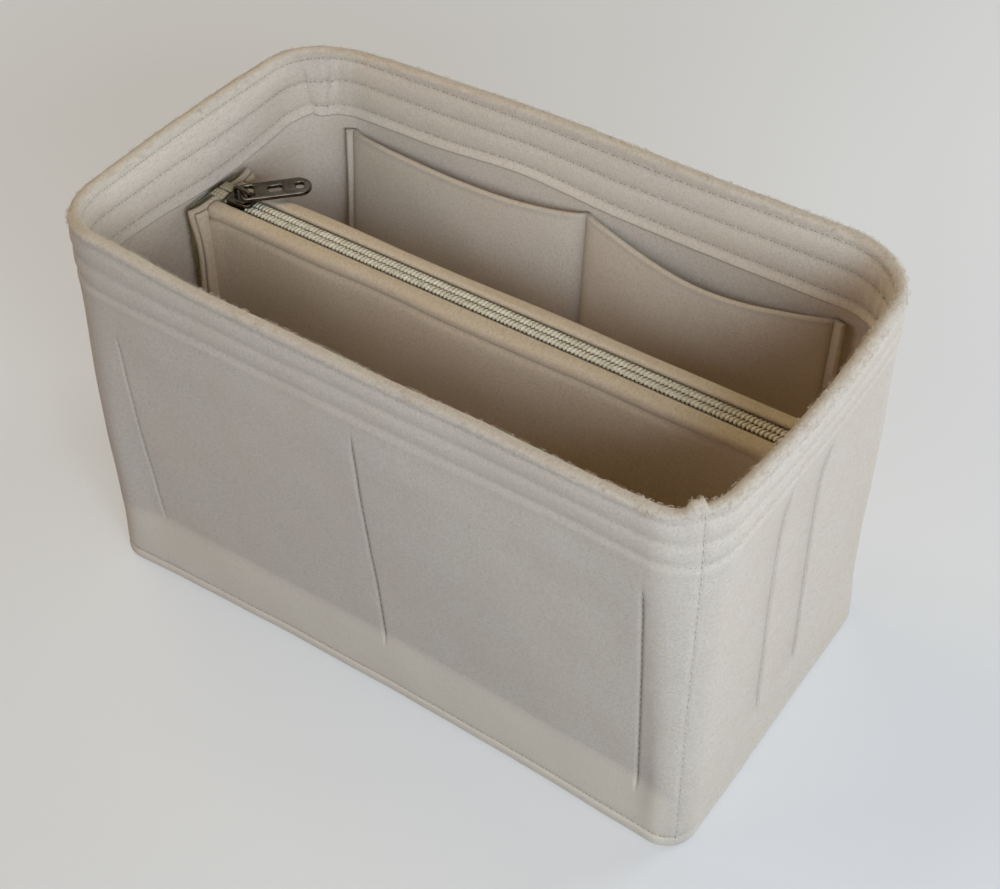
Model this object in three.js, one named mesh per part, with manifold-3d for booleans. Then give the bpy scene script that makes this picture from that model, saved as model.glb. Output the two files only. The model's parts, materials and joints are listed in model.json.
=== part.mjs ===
// Felt purse organizer: an open shell with sewn-in pockets and a zipped pouch hung between its end walls.
// Millimetres, +Z up, X along the length, front wall at -Y. The origin is the middle of the underside.

import * as THREE from 'three';
import { mergeVertices } from 'three/addons/utils/BufferGeometryUtils.js';
import Module from 'manifold-3d';

const wasm = await Module();
wasm.setup();

// Felt and sewing
const feltThickness = 2.5;
const sewnGap = 0.3; // air left between pieces that lie against each other

// Shell
const shellLength = 260; // outside, the end walls stand upright
const baseWidth = 140; // outside, at the floor
const rimWidth = 151; // outside, at the rim: the long walls lean out
const shellHeight = 165;
const baseCornerRadius = 12;
const rimCornerRadius = 29;
const seamCornerRadius = 18; // at the rim, front right, where the wall strip's ends are sewn together
const hemDepth = 23.5; // depth of the fold along the rim
const baseEdgeHeight = 9; // turned-up edge of the base panel
const footSeam = 5; // floor to the stitch line along the wall's foot
const frontFootBow = 3; // how far a long wall's foot curves in at mid-length
const backFootBow = 1.5;
const footBowHeight = 95; // where that curve has died out
const rimBow = 2.5; // how far the rim curves out at the middle of each end wall
const rimBowDepth = 50; // rim to where that curve starts
const endStation = 28; // place along Y of the end walls' facets beside their middle
const cornerSteps = 7;
const foldSteps = 3;

// Pocket panels, one inside each long wall
const frontPocketMargin = 20; // end wall to the raw edge of a centred panel
const backPocketMargin = 24;
const pocketBottom = 32; // height of the panel's lower edge above the floor
const pocketDrop = 35; // rim to the pockets' mouths
const pocketBulge = 8; // how far a pocket's mouth stands open
const pocketSeamMargin = 4.5; // stitch line to raw edge
const frontPocketShift = 7; // panel centre along X
const backPocketShift = -5;
const footPull = 2.6; // how far a panel's lower seam draws its wall in
const mouthPull = 0.5; // the same below the mouths
const pullFade = 16; // height below the mouths where that dies out
const seamDip = 0.9; // groove in the wall's outer face along an upright seam
const seamDipWidth = 2.4;
const pocketColumns = 10; // facets across one pocket
const pocketRows = 7;

// Pouch
const pouchCentreY = 6.5;
const pouchDrop = 33.5; // rim to the upper face of the felt bands beside the zip
const pouchHeight = 89.5;
const pouchWidth = 22; // outside, across the bands
const pouchBulge = 2; // swell of each long face at mid-length
const pouchFoldRadius = 0.5; // inside of the felt's folds
const pouchColumns = 12;
const pouchFaceRows = 6;
const pouchEdgeSteps = 3;
const endFlange = 6; // how far the end panels stand out past the long faces
const endCornerRadius = 2;

// Hook-and-loop strips at the pouch's ends
const stripWidth = 28;
const stripInset = 2; // strip edge to end panel edge, above and below
const stripCornerRadius = 1;
const hookThickness = 1.2;
const stripSeams = [-20, 7]; // places along Y of the seams on the right end wall
const pleatDip = 1.2; // how far the wall's outer face sinks in front of each
const pleatWidth = 12;
const pleatStep = 1;
const hemClearance = 0.5; // room for the pouch's ends to pass the hem when it is lifted out

// Zip
const zipSlotClearance = 0.4; // slider to the edges of the two felt bands
const chainWidth = 6.6; // across both coils
const tapeThickness = 0.6;
const coilHeight = 2.2;
const coilRounding = 0.7;
const coilEndInset = 2; // coil end to tape end
const runClearance = 0.35; // slider to coils and tapes

// Slider
const sliderLength = 11;
const sliderLip = 0.75; // turned-down sides of the upper plate
const sliderPlate = 1.3;
const sliderCornerRadius = 2;
const sliderEndGap = 4; // slider to the pouch's left end panel when the zip is shut
const postWidth = 1; // wedge between the two plates, which parts the coils
const postLength = 3;
const postSetback = 0.8; // wedge to the slider's left end
const crownWidth = 1.2;
const crownLeg = 0.9;
const crownBridge = 1.2;

// Pull tab, lying across the back band
const tabThickness = 1.8;
const tabYaw = 50; // degrees from +X towards the back
const tabReach = 26; // pivot to tip
const tabEndWidth = 10.2;
const tabBar = 1.5; // bar that runs through the crown
const tabRail = 1.2; // rails beside the eye
const tabSlotWidth = 4;
const tabSlotStarts = [9.6, 20]; // pivot to the near end of each slot
const tabSlotLengths = [5.4, 3.2];
const tabRootRadius = 1.6;
const tabSlotRadius = 1.2;

// Places that follow from the sizes above
const frontPocketWidth = shellLength - 2 * frontPocketMargin;
const backPocketWidth = shellLength - 2 * backPocketMargin;
const pocketTop = shellHeight - pocketDrop;
const pouchTop = shellHeight - pouchDrop;
const pouchEdgeRadius = feltThickness + pouchFoldRadius;
const channelWidth = chainWidth + 2 * runClearance; // the slider's way over the coils
const sliderWidth = channelWidth + 2 * sliderLip;
const zipSlotWidth = sliderWidth + 2 * zipSlotClearance; // between the felt bands
const wallInnerX = shellLength / 2 - feltThickness;
const loopThickness = feltThickness + hemClearance - 2 * sewnGap; // the pile stands proud of the hem
const loopOuterX = wallInnerX - sewnGap;
const hookOuterX = loopOuterX - loopThickness - sewnGap;
const endPanelOuterX = hookOuterX - hookThickness - sewnGap;
const pouchHalfLength = endPanelOuterX - feltThickness - sewnGap;
const pouchBottom = pouchTop - pouchHeight;
const tapeTop = pouchTop - feltThickness - sewnGap;
const tapeBottom = tapeTop - tapeThickness;
const coilBottom = tapeTop + sewnGap;
const coilTop = coilBottom + coilHeight;
const chainInner = postWidth / 2 + runClearance; // each coil's and tape's edge nearest the middle
const sliderTop = coilTop + runClearance + sliderPlate;
const sliderX = -(pouchHalfLength + sewnGap) + sliderEndGap + sliderLength / 2;

// Crown and tab: the crown clears the tab's bar as it turns, and the tab's eye clears the crown
const yaw = THREE.MathUtils.degToRad(tabYaw);
const barSweep = Math.hypot(tabBar, tabThickness) / 2 + runClearance;
const legAlongTab = (crownLeg * Math.cos(yaw) + crownWidth * Math.sin(yaw)) / 2;
const legAcrossTab = (crownLeg * Math.sin(yaw) + crownWidth * Math.cos(yaw)) / 2;
const legX = (barSweep + legAlongTab) / Math.cos(yaw);
const crownWindowLength = 2 * legX - crownLeg;
const crownLength = 2 * legX + crownLeg;
const crownWindowHeight = 2 * barSweep;
const pivotHeight = sliderTop + barSweep;
const tabEyeWidth = 2 * (legX * Math.sin(yaw) + legAcrossTab + runClearance);
const tabEyeEnd = Math.hypot(legX * Math.cos(yaw) + legAlongTab, barSweep + crownBridge) + runClearance;
const tabRootWidth = tabEyeWidth + 2 * tabRail;
const sliderEdge = (sliderLength * Math.cos(yaw) + sliderWidth * Math.sin(yaw)) / 2;
const tabDroop = Math.asin((barSweep - tabThickness / 2 - runClearance) / sliderEdge); // rests on the slider

// Materials
const paleFelt = { color: 0xd9cdb8, roughness: 0.95, metalness: 0 };
const shadeFelt = { color: 0xcbbda6, roughness: 0.95, metalness: 0 };
const stripPile = { color: 0xb3a882, roughness: 1, metalness: 0 };
const tapeWeave = { color: 0xc9bc95, roughness: 0.85, metalness: 0 };
const coilNylon = { color: 0xbcae86, roughness: 0.45, metalness: 0 };
const blackNickel = { color: 0x3a3736, roughness: 0.3, metalness: 1 };

function named(name, geometry, finish) {
  const mesh = new THREE.Mesh(geometry, new THREE.MeshStandardMaterial(finish));
  mesh.name = name;
  return mesh;
}

// A closed surface from points and triangles, with its faces turned outwards
function closedGeometry(points, triangles) {
  let volume = 0;
  for (const [a, b, c] of triangles) {
    volume += points[a].dot(new THREE.Vector3().crossVectors(points[b], points[c]));
  }
  const outward = volume > 0 ? triangles : triangles.map(([a, b, c]) => [a, c, b]);
  const geometry = new THREE.BufferGeometry();
  geometry.setAttribute('position', new THREE.Float32BufferAttribute(points.flatMap((p) => p.toArray()), 3));
  geometry.setIndex(outward.flat());
  geometry.computeVertexNormals();
  return geometry;
}

// Solid sheet between two grids of points, grid[column][row], joined along their four edges
function sheetGeometry(faceGrid, backGrid) {
  const columns = faceGrid.length;
  const rows = faceGrid[0].length;
  const points = [...faceGrid.flat(), ...backGrid.flat()];
  const triangles = [];
  const face = (column, row) => column * rows + row;
  const back = (column, row) => columns * rows + face(column, row);
  const quad = (a, b, c, d) => triangles.push([a, b, c], [a, c, d]);
  for (let i = 0; i < columns - 1; i += 1) {
    for (let j = 0; j < rows - 1; j += 1) {
      quad(face(i, j), face(i + 1, j), face(i + 1, j + 1), face(i, j + 1));
      quad(back(i, j), back(i, j + 1), back(i + 1, j + 1), back(i + 1, j));
    }
    quad(face(i, 0), back(i, 0), back(i + 1, 0), face(i + 1, 0));
    quad(face(i, rows - 1), face(i + 1, rows - 1), back(i + 1, rows - 1), back(i, rows - 1));
  }
  for (let j = 0; j < rows - 1; j += 1) {
    quad(face(0, j), face(0, j + 1), back(0, j + 1), back(0, j));
    quad(face(columns - 1, j), back(columns - 1, j), back(columns - 1, j + 1), face(columns - 1, j + 1));
  }
  return closedGeometry(points, triangles);
}

function roundedRectangle(length, width, radius) {
  const x = length / 2 - radius;
  const y = width / 2 - radius;
  const outline = new THREE.Shape();
  outline.absarc(x, y, radius, 0, Math.PI / 2);
  outline.absarc(-x, y, radius, Math.PI / 2, Math.PI);
  outline.absarc(-x, -y, radius, Math.PI, 1.5 * Math.PI);
  outline.absarc(x, -y, radius, 1.5 * Math.PI, 2 * Math.PI);
  outline.closePath();
  return outline;
}

// Flat piece lying in XY, with its underside at z = 0
function plate(outline, thickness, curveSegments = 4) {
  return new THREE.ExtrudeGeometry(outline, { depth: thickness, bevelEnabled: false, curveSegments });
}

// The same piece stood up: the outline's width along Y, its height along Z, its thickness from x = 0 along X
function uprightPlate(outline, thickness, curveSegments) {
  return plate(outline, thickness, curveSegments).rotateX(Math.PI / 2).rotateZ(Math.PI / 2);
}

function toSolid(geometry) {
  const bare = geometry.index ? geometry.toNonIndexed() : geometry.clone();
  for (const attribute of Object.keys(bare.attributes)) {
    if (attribute !== 'position') {
      bare.deleteAttribute(attribute);
    }
  }
  const merged = mergeVertices(bare, 1e-4);
  return new wasm.Manifold(new wasm.Mesh({
    numProp: 3,
    vertProperties: new Float32Array(merged.attributes.position.array),
    triVerts: new Uint32Array(merged.index.array),
  }));
}

function fromSolid(solid) {
  const mesh = solid.getMesh();
  const geometry = new THREE.BufferGeometry();
  geometry.setAttribute('position', new THREE.BufferAttribute(mesh.vertProperties, 3));
  geometry.setIndex(new THREE.BufferAttribute(mesh.triVerts, 1));
  geometry.computeVertexNormals();
  return geometry;
}

function halfWidthAt(z) {
  return (baseWidth + (rimWidth - baseWidth) * (z / shellHeight)) / 2;
}

// Curves of the four corners, counted from the right end wall round by the back
const corners = [
  { signX: 1, signY: 1, rimRadius: rimCornerRadius },
  { signX: -1, signY: 1, rimRadius: rimCornerRadius },
  { signX: -1, signY: -1, rimRadius: rimCornerRadius },
  { signX: 1, signY: -1, rimRadius: seamCornerRadius },
];

function cornerRadiusAt(signX, signY, z) {
  const { rimRadius } = corners.find((corner) => corner.signX === signX && corner.signY === signY);
  return baseCornerRadius + (rimRadius - baseCornerRadius) * (z / shellHeight);
}

// Places along X of a pocket panel's three upright seams; side is -1 in front and 1 at the back
function panelSeams(side) {
  const shift = side < 0 ? frontPocketShift : backPocketShift;
  const width = side < 0 ? frontPocketWidth : backPocketWidth;
  const sewn = width / 2 - pocketSeamMargin;
  return [shift - sewn, shift, shift + sewn];
}

// The same on the wall's faces, kept off the corners' curves
function wallSeams(side, z) {
  return panelSeams(side).map((x) => {
    const signX = x < 0 ? -1 : 1;
    const straight = shellLength / 2 - cornerRadiusAt(signX, side, z) - seamDipWidth;
    return signX * Math.min(Math.abs(x), straight);
  });
}

// How far a long wall is drawn in at one place, by the curve of its foot and between the outer seams
function longWallPull(side, x, z, seams) {
  const straight = shellLength / 2 - baseCornerRadius;
  const curve = Math.max(0, 1 - (x / straight) ** 2);
  const fade = 1 - THREE.MathUtils.smoothstep(z, 0, footBowHeight);
  const bow = (side < 0 ? frontFootBow : backFootBow) * curve * fade;
  const [first, , last] = seams;
  if (x < first || x > last) {
    return bow;
  }
  if (z <= pocketBottom) {
    return bow + footPull * Math.max(0, (z - footSeam) / (pocketBottom - footSeam));
  }
  const below = Math.max(0, (pocketTop - z) / (pocketTop - pocketBottom));
  const pull = mouthPull + (footPull - mouthPull) * below ** 1.5;
  return bow + pull * (1 - THREE.MathUtils.smoothstep(z, pocketTop - pullFade, pocketTop));
}

// Distance from the middle plane to a face inside a long wall, also where the wall turns into a corner
function longWallAt(side, x, z, inset) {
  const radius = cornerRadiusAt(x < 0 ? -1 : 1, side, z);
  const pastCorner = Math.max(0, Math.abs(x) - (shellLength / 2 - radius));
  const curve = Math.sqrt((radius - inset) ** 2 - pastCorner ** 2);
  return halfWidthAt(z) - radius + curve - longWallPull(side, x, z, panelSeams(side));
}

// Places along X where a long wall's facets meet: each seam with its groove, and midway between seams
function longWallStations(side, z) {
  const seams = wallSeams(side, z);
  const half = seamDipWidth / 2;
  const stations = seams.flatMap((x) => [x - half, x, x + half]);
  stations.push((seams[0] + seams[1]) / 2, (seams[1] + seams[2]) / 2);
  return stations.sort((a, b) => a - b);
}

// Places along Y where the right end wall's facets meet: its middle, and each strip seam with its pleat
function rightWallStations() {
  const pleats = stripSeams.flatMap((y) => [y - pleatWidth, y - pleatStep / 2, y + pleatStep / 2]);
  return [...pleats, endStation].sort((a, b) => a - b);
}

// Ring of points round the shell at one height, a given distance inside its outer face
function shellRing(inset, z) {
  const ring = [];
  const rise = THREE.MathUtils.smoothstep(z, shellHeight - rimBowDepth, shellHeight);
  const sewn = inset === 0 && z >= pocketBottom && z <= pocketTop;
  const add = (x, y, outX, outY, dip = 0) => {
    const side = y < 0 ? -1 : 1;
    const bow = rimBow * rise * outX ** 2 * Math.cos((Math.PI * y) / rimWidth);
    const offset = bow - Math.abs(outY) * longWallPull(side, x, z, wallSeams(side, z)) - dip;
    ring.push(new THREE.Vector3(x + outX * offset, y + outY * offset, z));
  };
  const addCorner = (corner) => {
    const { signX, signY } = corners[corner];
    const radius = cornerRadiusAt(signX, signY, z);
    for (let step = 0; step <= cornerSteps; step += 1) {
      const angle = (corner + step / cornerSteps) * (Math.PI / 2);
      const outX = Math.cos(angle);
      const outY = Math.sin(angle);
      const x = signX * (shellLength / 2 - radius) + (radius - inset) * outX;
      const y = signY * (halfWidthAt(z) - radius) + (radius - inset) * outY;
      add(x, y, outX, outY);
    }
  };
  const addLongWall = (side) => {
    const seams = wallSeams(side, z);
    const stations = longWallStations(side, z);
    const ordered = side < 0 ? stations : stations.reverse();
    const y = side * (halfWidthAt(z) - inset);
    ordered.forEach((x) => add(x, y, 0, side, sewn && seams.includes(x) ? seamDip : 0));
  };
  const endX = shellLength / 2 - inset;
  const pleats = stripSeams.map((y) => y - pleatStep / 2);

  addCorner(0);
  addLongWall(1);
  addCorner(1);
  [endStation, 0, -endStation].forEach((y) => add(-endX, y, -1, 0));
  addCorner(2);
  addLongWall(-1);
  addCorner(3);
  rightWallStations().forEach((y) => add(endX, y, 1, 0, sewn && pleats.includes(y) ? pleatDip : 0));
  return ring;
}

function bandTriangles(first, second, count) {
  const triangles = [];
  for (let i = 0; i < count; i += 1) {
    const next = (i + 1) % count;
    triangles.push([first + i, first + next, second + next], [first + i, second + next, second + i]);
  }
  return triangles;
}

// Wall strip: up the outer face, over the rim's fold, down the hem and the inner face
function makeOuterWall() {
  const pocketMiddle = (pocketBottom + pocketTop) / 2;
  const heights = [0, footSeam, pocketBottom, pocketMiddle, pocketTop - pullFade, pocketTop];
  const section = [...heights, shellHeight - hemDepth].map((z) => [0, z]);
  for (let step = 0; step <= 2 * foldSteps; step += 1) {
    const angle = Math.PI - (step / (2 * foldSteps)) * Math.PI;
    const inset = feltThickness * (1 + Math.cos(angle));
    const z = shellHeight - feltThickness * (1 - Math.sin(angle));
    section.push([inset, z]);
  }
  section.push([2 * feltThickness, shellHeight - hemDepth]);
  section.push([feltThickness, shellHeight - hemDepth]);
  section.push(...heights.reverse().map((z) => [feltThickness, z]));
  const rings = section.map(([inset, z]) => shellRing(inset, z));
  const count = rings[0].length;
  const triangles = rings.flatMap((ring, k) => {
    const following = (k + 1) % rings.length;
    return bandTriangles(k * count, following * count, count);
  });
  return named('outer_wall', closedGeometry(rings.flat(), triangles), paleFelt);
}

// Floor of felt with its edge turned up against the wall
function makeBasePanel() {
  const outer = feltThickness + sewnGap;
  const inner = outer + feltThickness;
  const rings = [
    shellRing(outer, 0),
    shellRing(outer, baseEdgeHeight),
    shellRing(inner, baseEdgeHeight),
    shellRing(inner, feltThickness),
  ];
  const count = rings[0].length;
  const points = [...rings.flat(), new THREE.Vector3(0, 0, 0), new THREE.Vector3(0, 0, feltThickness)];
  const undersideCentre = rings.length * count;
  const floorCentre = undersideCentre + 1;
  const floorRing = undersideCentre - count;
  const bands = rings.slice(1).map((ring, k) => bandTriangles(k * count, (k + 1) * count, count));
  const triangles = bands.flat();
  for (let i = 0; i < count; i += 1) {
    const next = (i + 1) % count;
    triangles.push([undersideCentre, next, i]);
    triangles.push([floorCentre, floorRing + i, floorRing + next]);
  }
  return named('base_panel', closedGeometry(points, triangles), shadeFelt);
}

// Distances across a pocket panel where its facets meet: raw edges, stitch lines and each pocket's columns
function pocketStations(width) {
  const stitched = width / 2 - pocketSeamMargin;
  const stations = [-width / 2];
  for (let i = 0; i <= 2 * pocketColumns; i += 1) {
    stations.push(-stitched + (i / pocketColumns) * stitched);
  }
  stations.push(width / 2);
  return stations;
}

// Opening between panel and wall: nothing on the stitch lines, widest at the middle of each mouth
function pocketOpening(width, across, z) {
  const stitched = width / 2 - pocketSeamMargin;
  const foot = pocketBottom + pocketSeamMargin;
  if (Math.abs(across) >= stitched || z <= foot) {
    return 0;
  }
  const rise = (z - foot) / (pocketTop - foot);
  return pocketBulge * Math.abs(Math.sin((Math.PI * across) / stitched)) * Math.sin((Math.PI / 2) * rise);
}

// Two-pocket panel that follows the wall's lean; side is -1 inside the front wall and 1 inside the back one
function makePocketPanel(name, side, shift, width) {
  const heights = [pocketBottom];
  const foot = pocketBottom + pocketSeamMargin;
  for (let j = 0; j <= pocketRows; j += 1) {
    heights.push(foot + (j / pocketRows) * (pocketTop - foot));
  }
  const grid = (depth) => pocketStations(width).map((across) => heights.map((z) => {
    const inset = feltThickness + sewnGap + pocketOpening(width, across, z) + depth;
    return new THREE.Vector3(shift + across, side * longWallAt(side, shift + across, z, inset), z);
  }));
  return named(name, sheetGeometry(grid(feltThickness), grid(0)), shadeFelt);
}

// Points down one long face of the pouch, with the outward direction at each: band, edge, face, edge, bottom
function pouchSection() {
  const section = [];
  const add = (across, z, outAcross, outZ) => section.push({ across, z, outAcross, outZ });
  const half = pouchWidth / 2;
  const edge = half - pouchEdgeRadius;
  const addEdge = (centreZ, fromAngle) => {
    for (let step = 0; step <= pouchEdgeSteps; step += 1) {
      const angle = fromAngle - (step / pouchEdgeSteps) * (Math.PI / 2);
      const outAcross = Math.cos(angle);
      const outZ = Math.sin(angle);
      add(edge + pouchEdgeRadius * outAcross, centreZ + pouchEdgeRadius * outZ, outAcross, outZ);
    }
  };
  add(zipSlotWidth / 2, pouchTop, 0, 1);
  addEdge(pouchTop - pouchEdgeRadius, Math.PI / 2);
  for (let row = 1; row < pouchFaceRows; row += 1) {
    const z = pouchTop - pouchEdgeRadius - (row / pouchFaceRows) * (pouchHeight - 2 * pouchEdgeRadius);
    add(half, z, 1, 0);
  }
  addEdge(pouchBottom + pouchEdgeRadius, 0);
  add(sewnGap / 2, pouchBottom, 0, -1);
  return section;
}

// Long face of the pouch; side is -1 for the front and 1 for the back
function makePouchPanel(name, side) {
  const section = pouchSection();
  const stations = [];
  for (let i = 0; i <= pouchColumns; i += 1) {
    stations.push((2 * i / pouchColumns - 1) * pouchHalfLength);
  }
  const grid = (depth) => stations.map((x) => section.map(({ across, z, outAcross, outZ }) => {
    const along = Math.cos((Math.PI / 2) * (x / pouchHalfLength));
    const down = Math.sin(Math.PI * ((pouchTop - z) / pouchHeight));
    const swell = outAcross === 1 ? pouchBulge * along * down : 0;
    const y = pouchCentreY + side * (across + swell - depth * outAcross);
    return new THREE.Vector3(x, y, z - depth * outZ);
  }));
  return named(name, sheetGeometry(grid(0), grid(feltThickness)), shadeFelt);
}

// Flat piece across an end of the pouch, its outer face at a given X; side is -1 left and 1 right
function makeEndPiece(name, side, outerX, thickness, width, bottom, top, radius, finish) {
  const mesh = named(name, uprightPlate(roundedRectangle(width, top - bottom, radius), thickness), finish);
  mesh.position.set(side > 0 ? outerX - thickness : -outerX, pouchCentreY, (bottom + top) / 2);
  return mesh;
}

function makePouchEnd(name, side) {
  const width = pouchWidth + 2 * endFlange;
  const outerX = endPanelOuterX;
  const radius = endCornerRadius;
  return makeEndPiece(name, side, outerX, feltThickness, width, pouchBottom, pouchTop, radius, shadeFelt);
}

function makeStrip(name, side, outerX, thickness) {
  const bottom = pouchBottom + stripInset;
  const top = pouchTop - stripInset;
  return makeEndPiece(name, side, outerX, thickness, stripWidth, bottom, top, stripCornerRadius, stripPile);
}

// Tape of the zip, from the middle of the chain to the pouch's long face
function makeZipTape(name, side) {
  const outerEdge = pouchWidth / 2 - feltThickness - sewnGap;
  const width = outerEdge - chainInner;
  const outline = roundedRectangle(2 * pouchHalfLength, width, tapeThickness);
  const mesh = named(name, plate(outline, tapeThickness), tapeWeave);
  mesh.position.set(0, pouchCentreY + side * (chainInner + width / 2), tapeBottom);
  return mesh;
}

// Coil of the zip as a round-edged bar on its tape
function makeZipCoil(name, side) {
  const width = chainWidth / 2 - chainInner;
  const length = 2 * (pouchHalfLength - coilEndInset);
  const outline = roundedRectangle(width, coilHeight, coilRounding);
  const mesh = named(name, uprightPlate(outline, length, 2), coilNylon);
  const centreY = pouchCentreY + side * (chainInner + width / 2);
  mesh.position.set(-length / 2, centreY, coilBottom + coilHeight / 2);
  return mesh;
}

// Slider in its own frame: X along the zip, z = 0 at the coils' feet
function sliderSolid() {
  const plateOutline = roundedRectangle(sliderLength, sliderWidth, sliderCornerRadius);
  const lowerTop = tapeBottom - runClearance - coilBottom;
  const upperBottom = coilTop + runClearance - coilBottom;
  const lipBottom = tapeTop + runClearance - coilBottom;

  const lower = plate(plateOutline, sliderPlate).translate(0, 0, lowerTop - sliderPlate);
  const upper = plate(plateOutline, upperBottom + sliderPlate - lipBottom).translate(0, 0, lipBottom);
  const channel = new THREE.BoxGeometry(2 * sliderLength, channelWidth, 2 * (upperBottom - lipBottom));
  channel.translate(0, 0, lipBottom);
  const post = new THREE.BoxGeometry(postLength, postWidth, upperBottom - lowerTop + sliderPlate);
  post.translate(-sliderLength / 2 + postSetback + postLength / 2, 0, (upperBottom + lowerTop) / 2);

  const crownHeight = crownWindowHeight + crownBridge;
  const arch = new THREE.Shape();
  arch.moveTo(-crownLength / 2, -sliderPlate / 2);
  arch.lineTo(crownLength / 2, -sliderPlate / 2);
  arch.lineTo(crownLength / 2, crownHeight - crownBridge);
  arch.quadraticCurveTo(crownLength / 2, crownHeight, crownLength / 2 - crownBridge, crownHeight);
  arch.lineTo(-crownLength / 2 + crownBridge, crownHeight);
  arch.quadraticCurveTo(-crownLength / 2, crownHeight, -crownLength / 2, crownHeight - crownBridge);
  arch.closePath();
  const window = new THREE.Path();
  window.moveTo(-crownWindowLength / 2, 0);
  window.lineTo(-crownWindowLength / 2, crownWindowHeight);
  window.lineTo(crownWindowLength / 2, crownWindowHeight);
  window.lineTo(crownWindowLength / 2, 0);
  window.closePath();
  arch.holes.push(window);
  const crown = plate(arch, crownWidth);
  crown.rotateX(Math.PI / 2);
  crown.translate(0, crownWidth / 2, sliderTop - coilBottom);

  const hood = toSolid(upper).subtract(toSolid(channel));
  return hood.add(toSolid(lower)).add(toSolid(post)).add(toSolid(crown));
}

function makeSliderBody() {
  const mesh = named('slider_body', fromSolid(sliderSolid()), blackNickel);
  mesh.position.set(sliderX, pouchCentreY, coilBottom);
  return mesh;
}

// Pull tab in its own frame: the pivot at the origin, the tip towards +X
function makePullTab() {
  const start = -tabBar / 2;
  const endRadius = tabEndWidth / 2;
  const outline = new THREE.Shape();
  outline.moveTo(start, -tabRootWidth / 2 + tabRootRadius);
  outline.quadraticCurveTo(start, -tabRootWidth / 2, start + tabRootRadius, -tabRootWidth / 2);
  outline.lineTo(tabReach - endRadius, -endRadius);
  outline.absarc(tabReach - endRadius, 0, endRadius, -Math.PI / 2, Math.PI / 2);
  outline.lineTo(start + tabRootRadius, tabRootWidth / 2);
  outline.quadraticCurveTo(start, tabRootWidth / 2, start, tabRootWidth / 2 - tabRootRadius);
  outline.closePath();
  const addHole = (from, length, width) => {
    const rim = roundedRectangle(length, width, tabSlotRadius).getPoints(4);
    const placed = rim.map((point) => new THREE.Vector2(point.x + from + length / 2, point.y));
    outline.holes.push(new THREE.Path(placed));
  };
  addHole(tabBar / 2, tabEyeEnd - tabBar / 2, tabEyeWidth);
  tabSlotStarts.forEach((from, i) => addHole(from, tabSlotLengths[i], tabSlotWidth));
  const geometry = plate(outline, tabThickness, 12).translate(0, 0, -tabThickness / 2);
  const mesh = named('pull_tab', geometry, blackNickel);
  mesh.rotation.y = tabDroop;
  const turned = new THREE.Group();
  turned.rotation.z = yaw;
  turned.position.set(sliderX, pouchCentreY, pivotHeight);
  turned.add(mesh);
  return turned;
}

const organizer = new THREE.Group();
organizer.add(
  makeOuterWall(),
  makeBasePanel(),
  makePocketPanel('front_pocket_panel', -1, frontPocketShift, frontPocketWidth),
  makePocketPanel('back_pocket_panel', 1, backPocketShift, backPocketWidth),
  makeStrip('loop_strip_left', -1, loopOuterX, loopThickness),
  makeStrip('loop_strip_right', 1, loopOuterX, loopThickness),
);

const pouch = new THREE.Group();
pouch.add(
  makePouchPanel('pouch_front_panel', -1),
  makePouchPanel('pouch_back_panel', 1),
  makePouchEnd('pouch_end_left', -1),
  makePouchEnd('pouch_end_right', 1),
  makeStrip('hook_strip_left', -1, hookOuterX, hookThickness),
  makeStrip('hook_strip_right', 1, hookOuterX, hookThickness),
  makeZipTape('zip_tape_front', -1),
  makeZipTape('zip_tape_back', 1),
  makeZipCoil('zip_coil_front', -1),
  makeZipCoil('zip_coil_back', 1),
  makeSliderBody(),
  makePullTab(),
);
organizer.add(pouch);

export default organizer;
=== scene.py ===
import json
import math

import bpy
import numpy as np
from mathutils import Matrix, Vector


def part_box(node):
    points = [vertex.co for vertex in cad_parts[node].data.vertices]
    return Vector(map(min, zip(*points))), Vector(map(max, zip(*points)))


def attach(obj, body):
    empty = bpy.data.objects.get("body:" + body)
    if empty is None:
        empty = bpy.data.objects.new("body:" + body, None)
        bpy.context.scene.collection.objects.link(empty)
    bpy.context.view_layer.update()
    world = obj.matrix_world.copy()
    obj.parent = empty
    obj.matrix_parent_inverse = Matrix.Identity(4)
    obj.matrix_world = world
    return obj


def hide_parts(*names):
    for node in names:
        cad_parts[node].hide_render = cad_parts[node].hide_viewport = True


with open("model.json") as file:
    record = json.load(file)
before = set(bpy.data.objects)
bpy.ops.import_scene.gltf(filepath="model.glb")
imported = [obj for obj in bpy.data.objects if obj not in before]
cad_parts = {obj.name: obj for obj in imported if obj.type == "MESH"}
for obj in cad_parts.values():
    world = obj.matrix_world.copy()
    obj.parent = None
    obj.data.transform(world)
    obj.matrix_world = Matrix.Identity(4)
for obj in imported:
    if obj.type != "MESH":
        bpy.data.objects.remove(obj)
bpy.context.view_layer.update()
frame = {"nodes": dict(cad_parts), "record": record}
mm = 0.001  # sizes below are in millimetres, meshes in metres
print("frame loaded,", len(frame["nodes"]), "solids")


def nodeBox(node):
    return [np.array(corner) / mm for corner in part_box(node)]


def hexLinear(code):
    parts = [int(code[i:i + 2], 16) / 255 for i in (1, 3, 5)]
    return [p / 12.92 if p <= 0.04045 else ((p + 0.055) / 1.055) ** 2.4 for p in parts] + [1.0]


def feed(tree, node, inputs):
    # values, sockets, or whole nodes, which give their first output
    for key, value in inputs.items():
        if isinstance(value, bpy.types.Node):
            value = value.outputs[0]
        if isinstance(value, bpy.types.NodeSocket):
            tree.links.new(value, node.inputs[key])
        else:
            node.inputs[key].default_value = value


def addNode(tree, kind, inputs=None, ramp=(), **settings):
    node = tree.nodes.new(kind)
    for key, value in settings.items():
        setattr(node, key, value)
    feed(tree, node, inputs or {})
    for number, (spot, code) in enumerate(ramp):
        stops = node.color_ramp.elements
        stop = stops[number] if number < 2 else stops.new(spot)
        stop.position, stop.color = spot, hexLinear(code)
    return node


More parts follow.
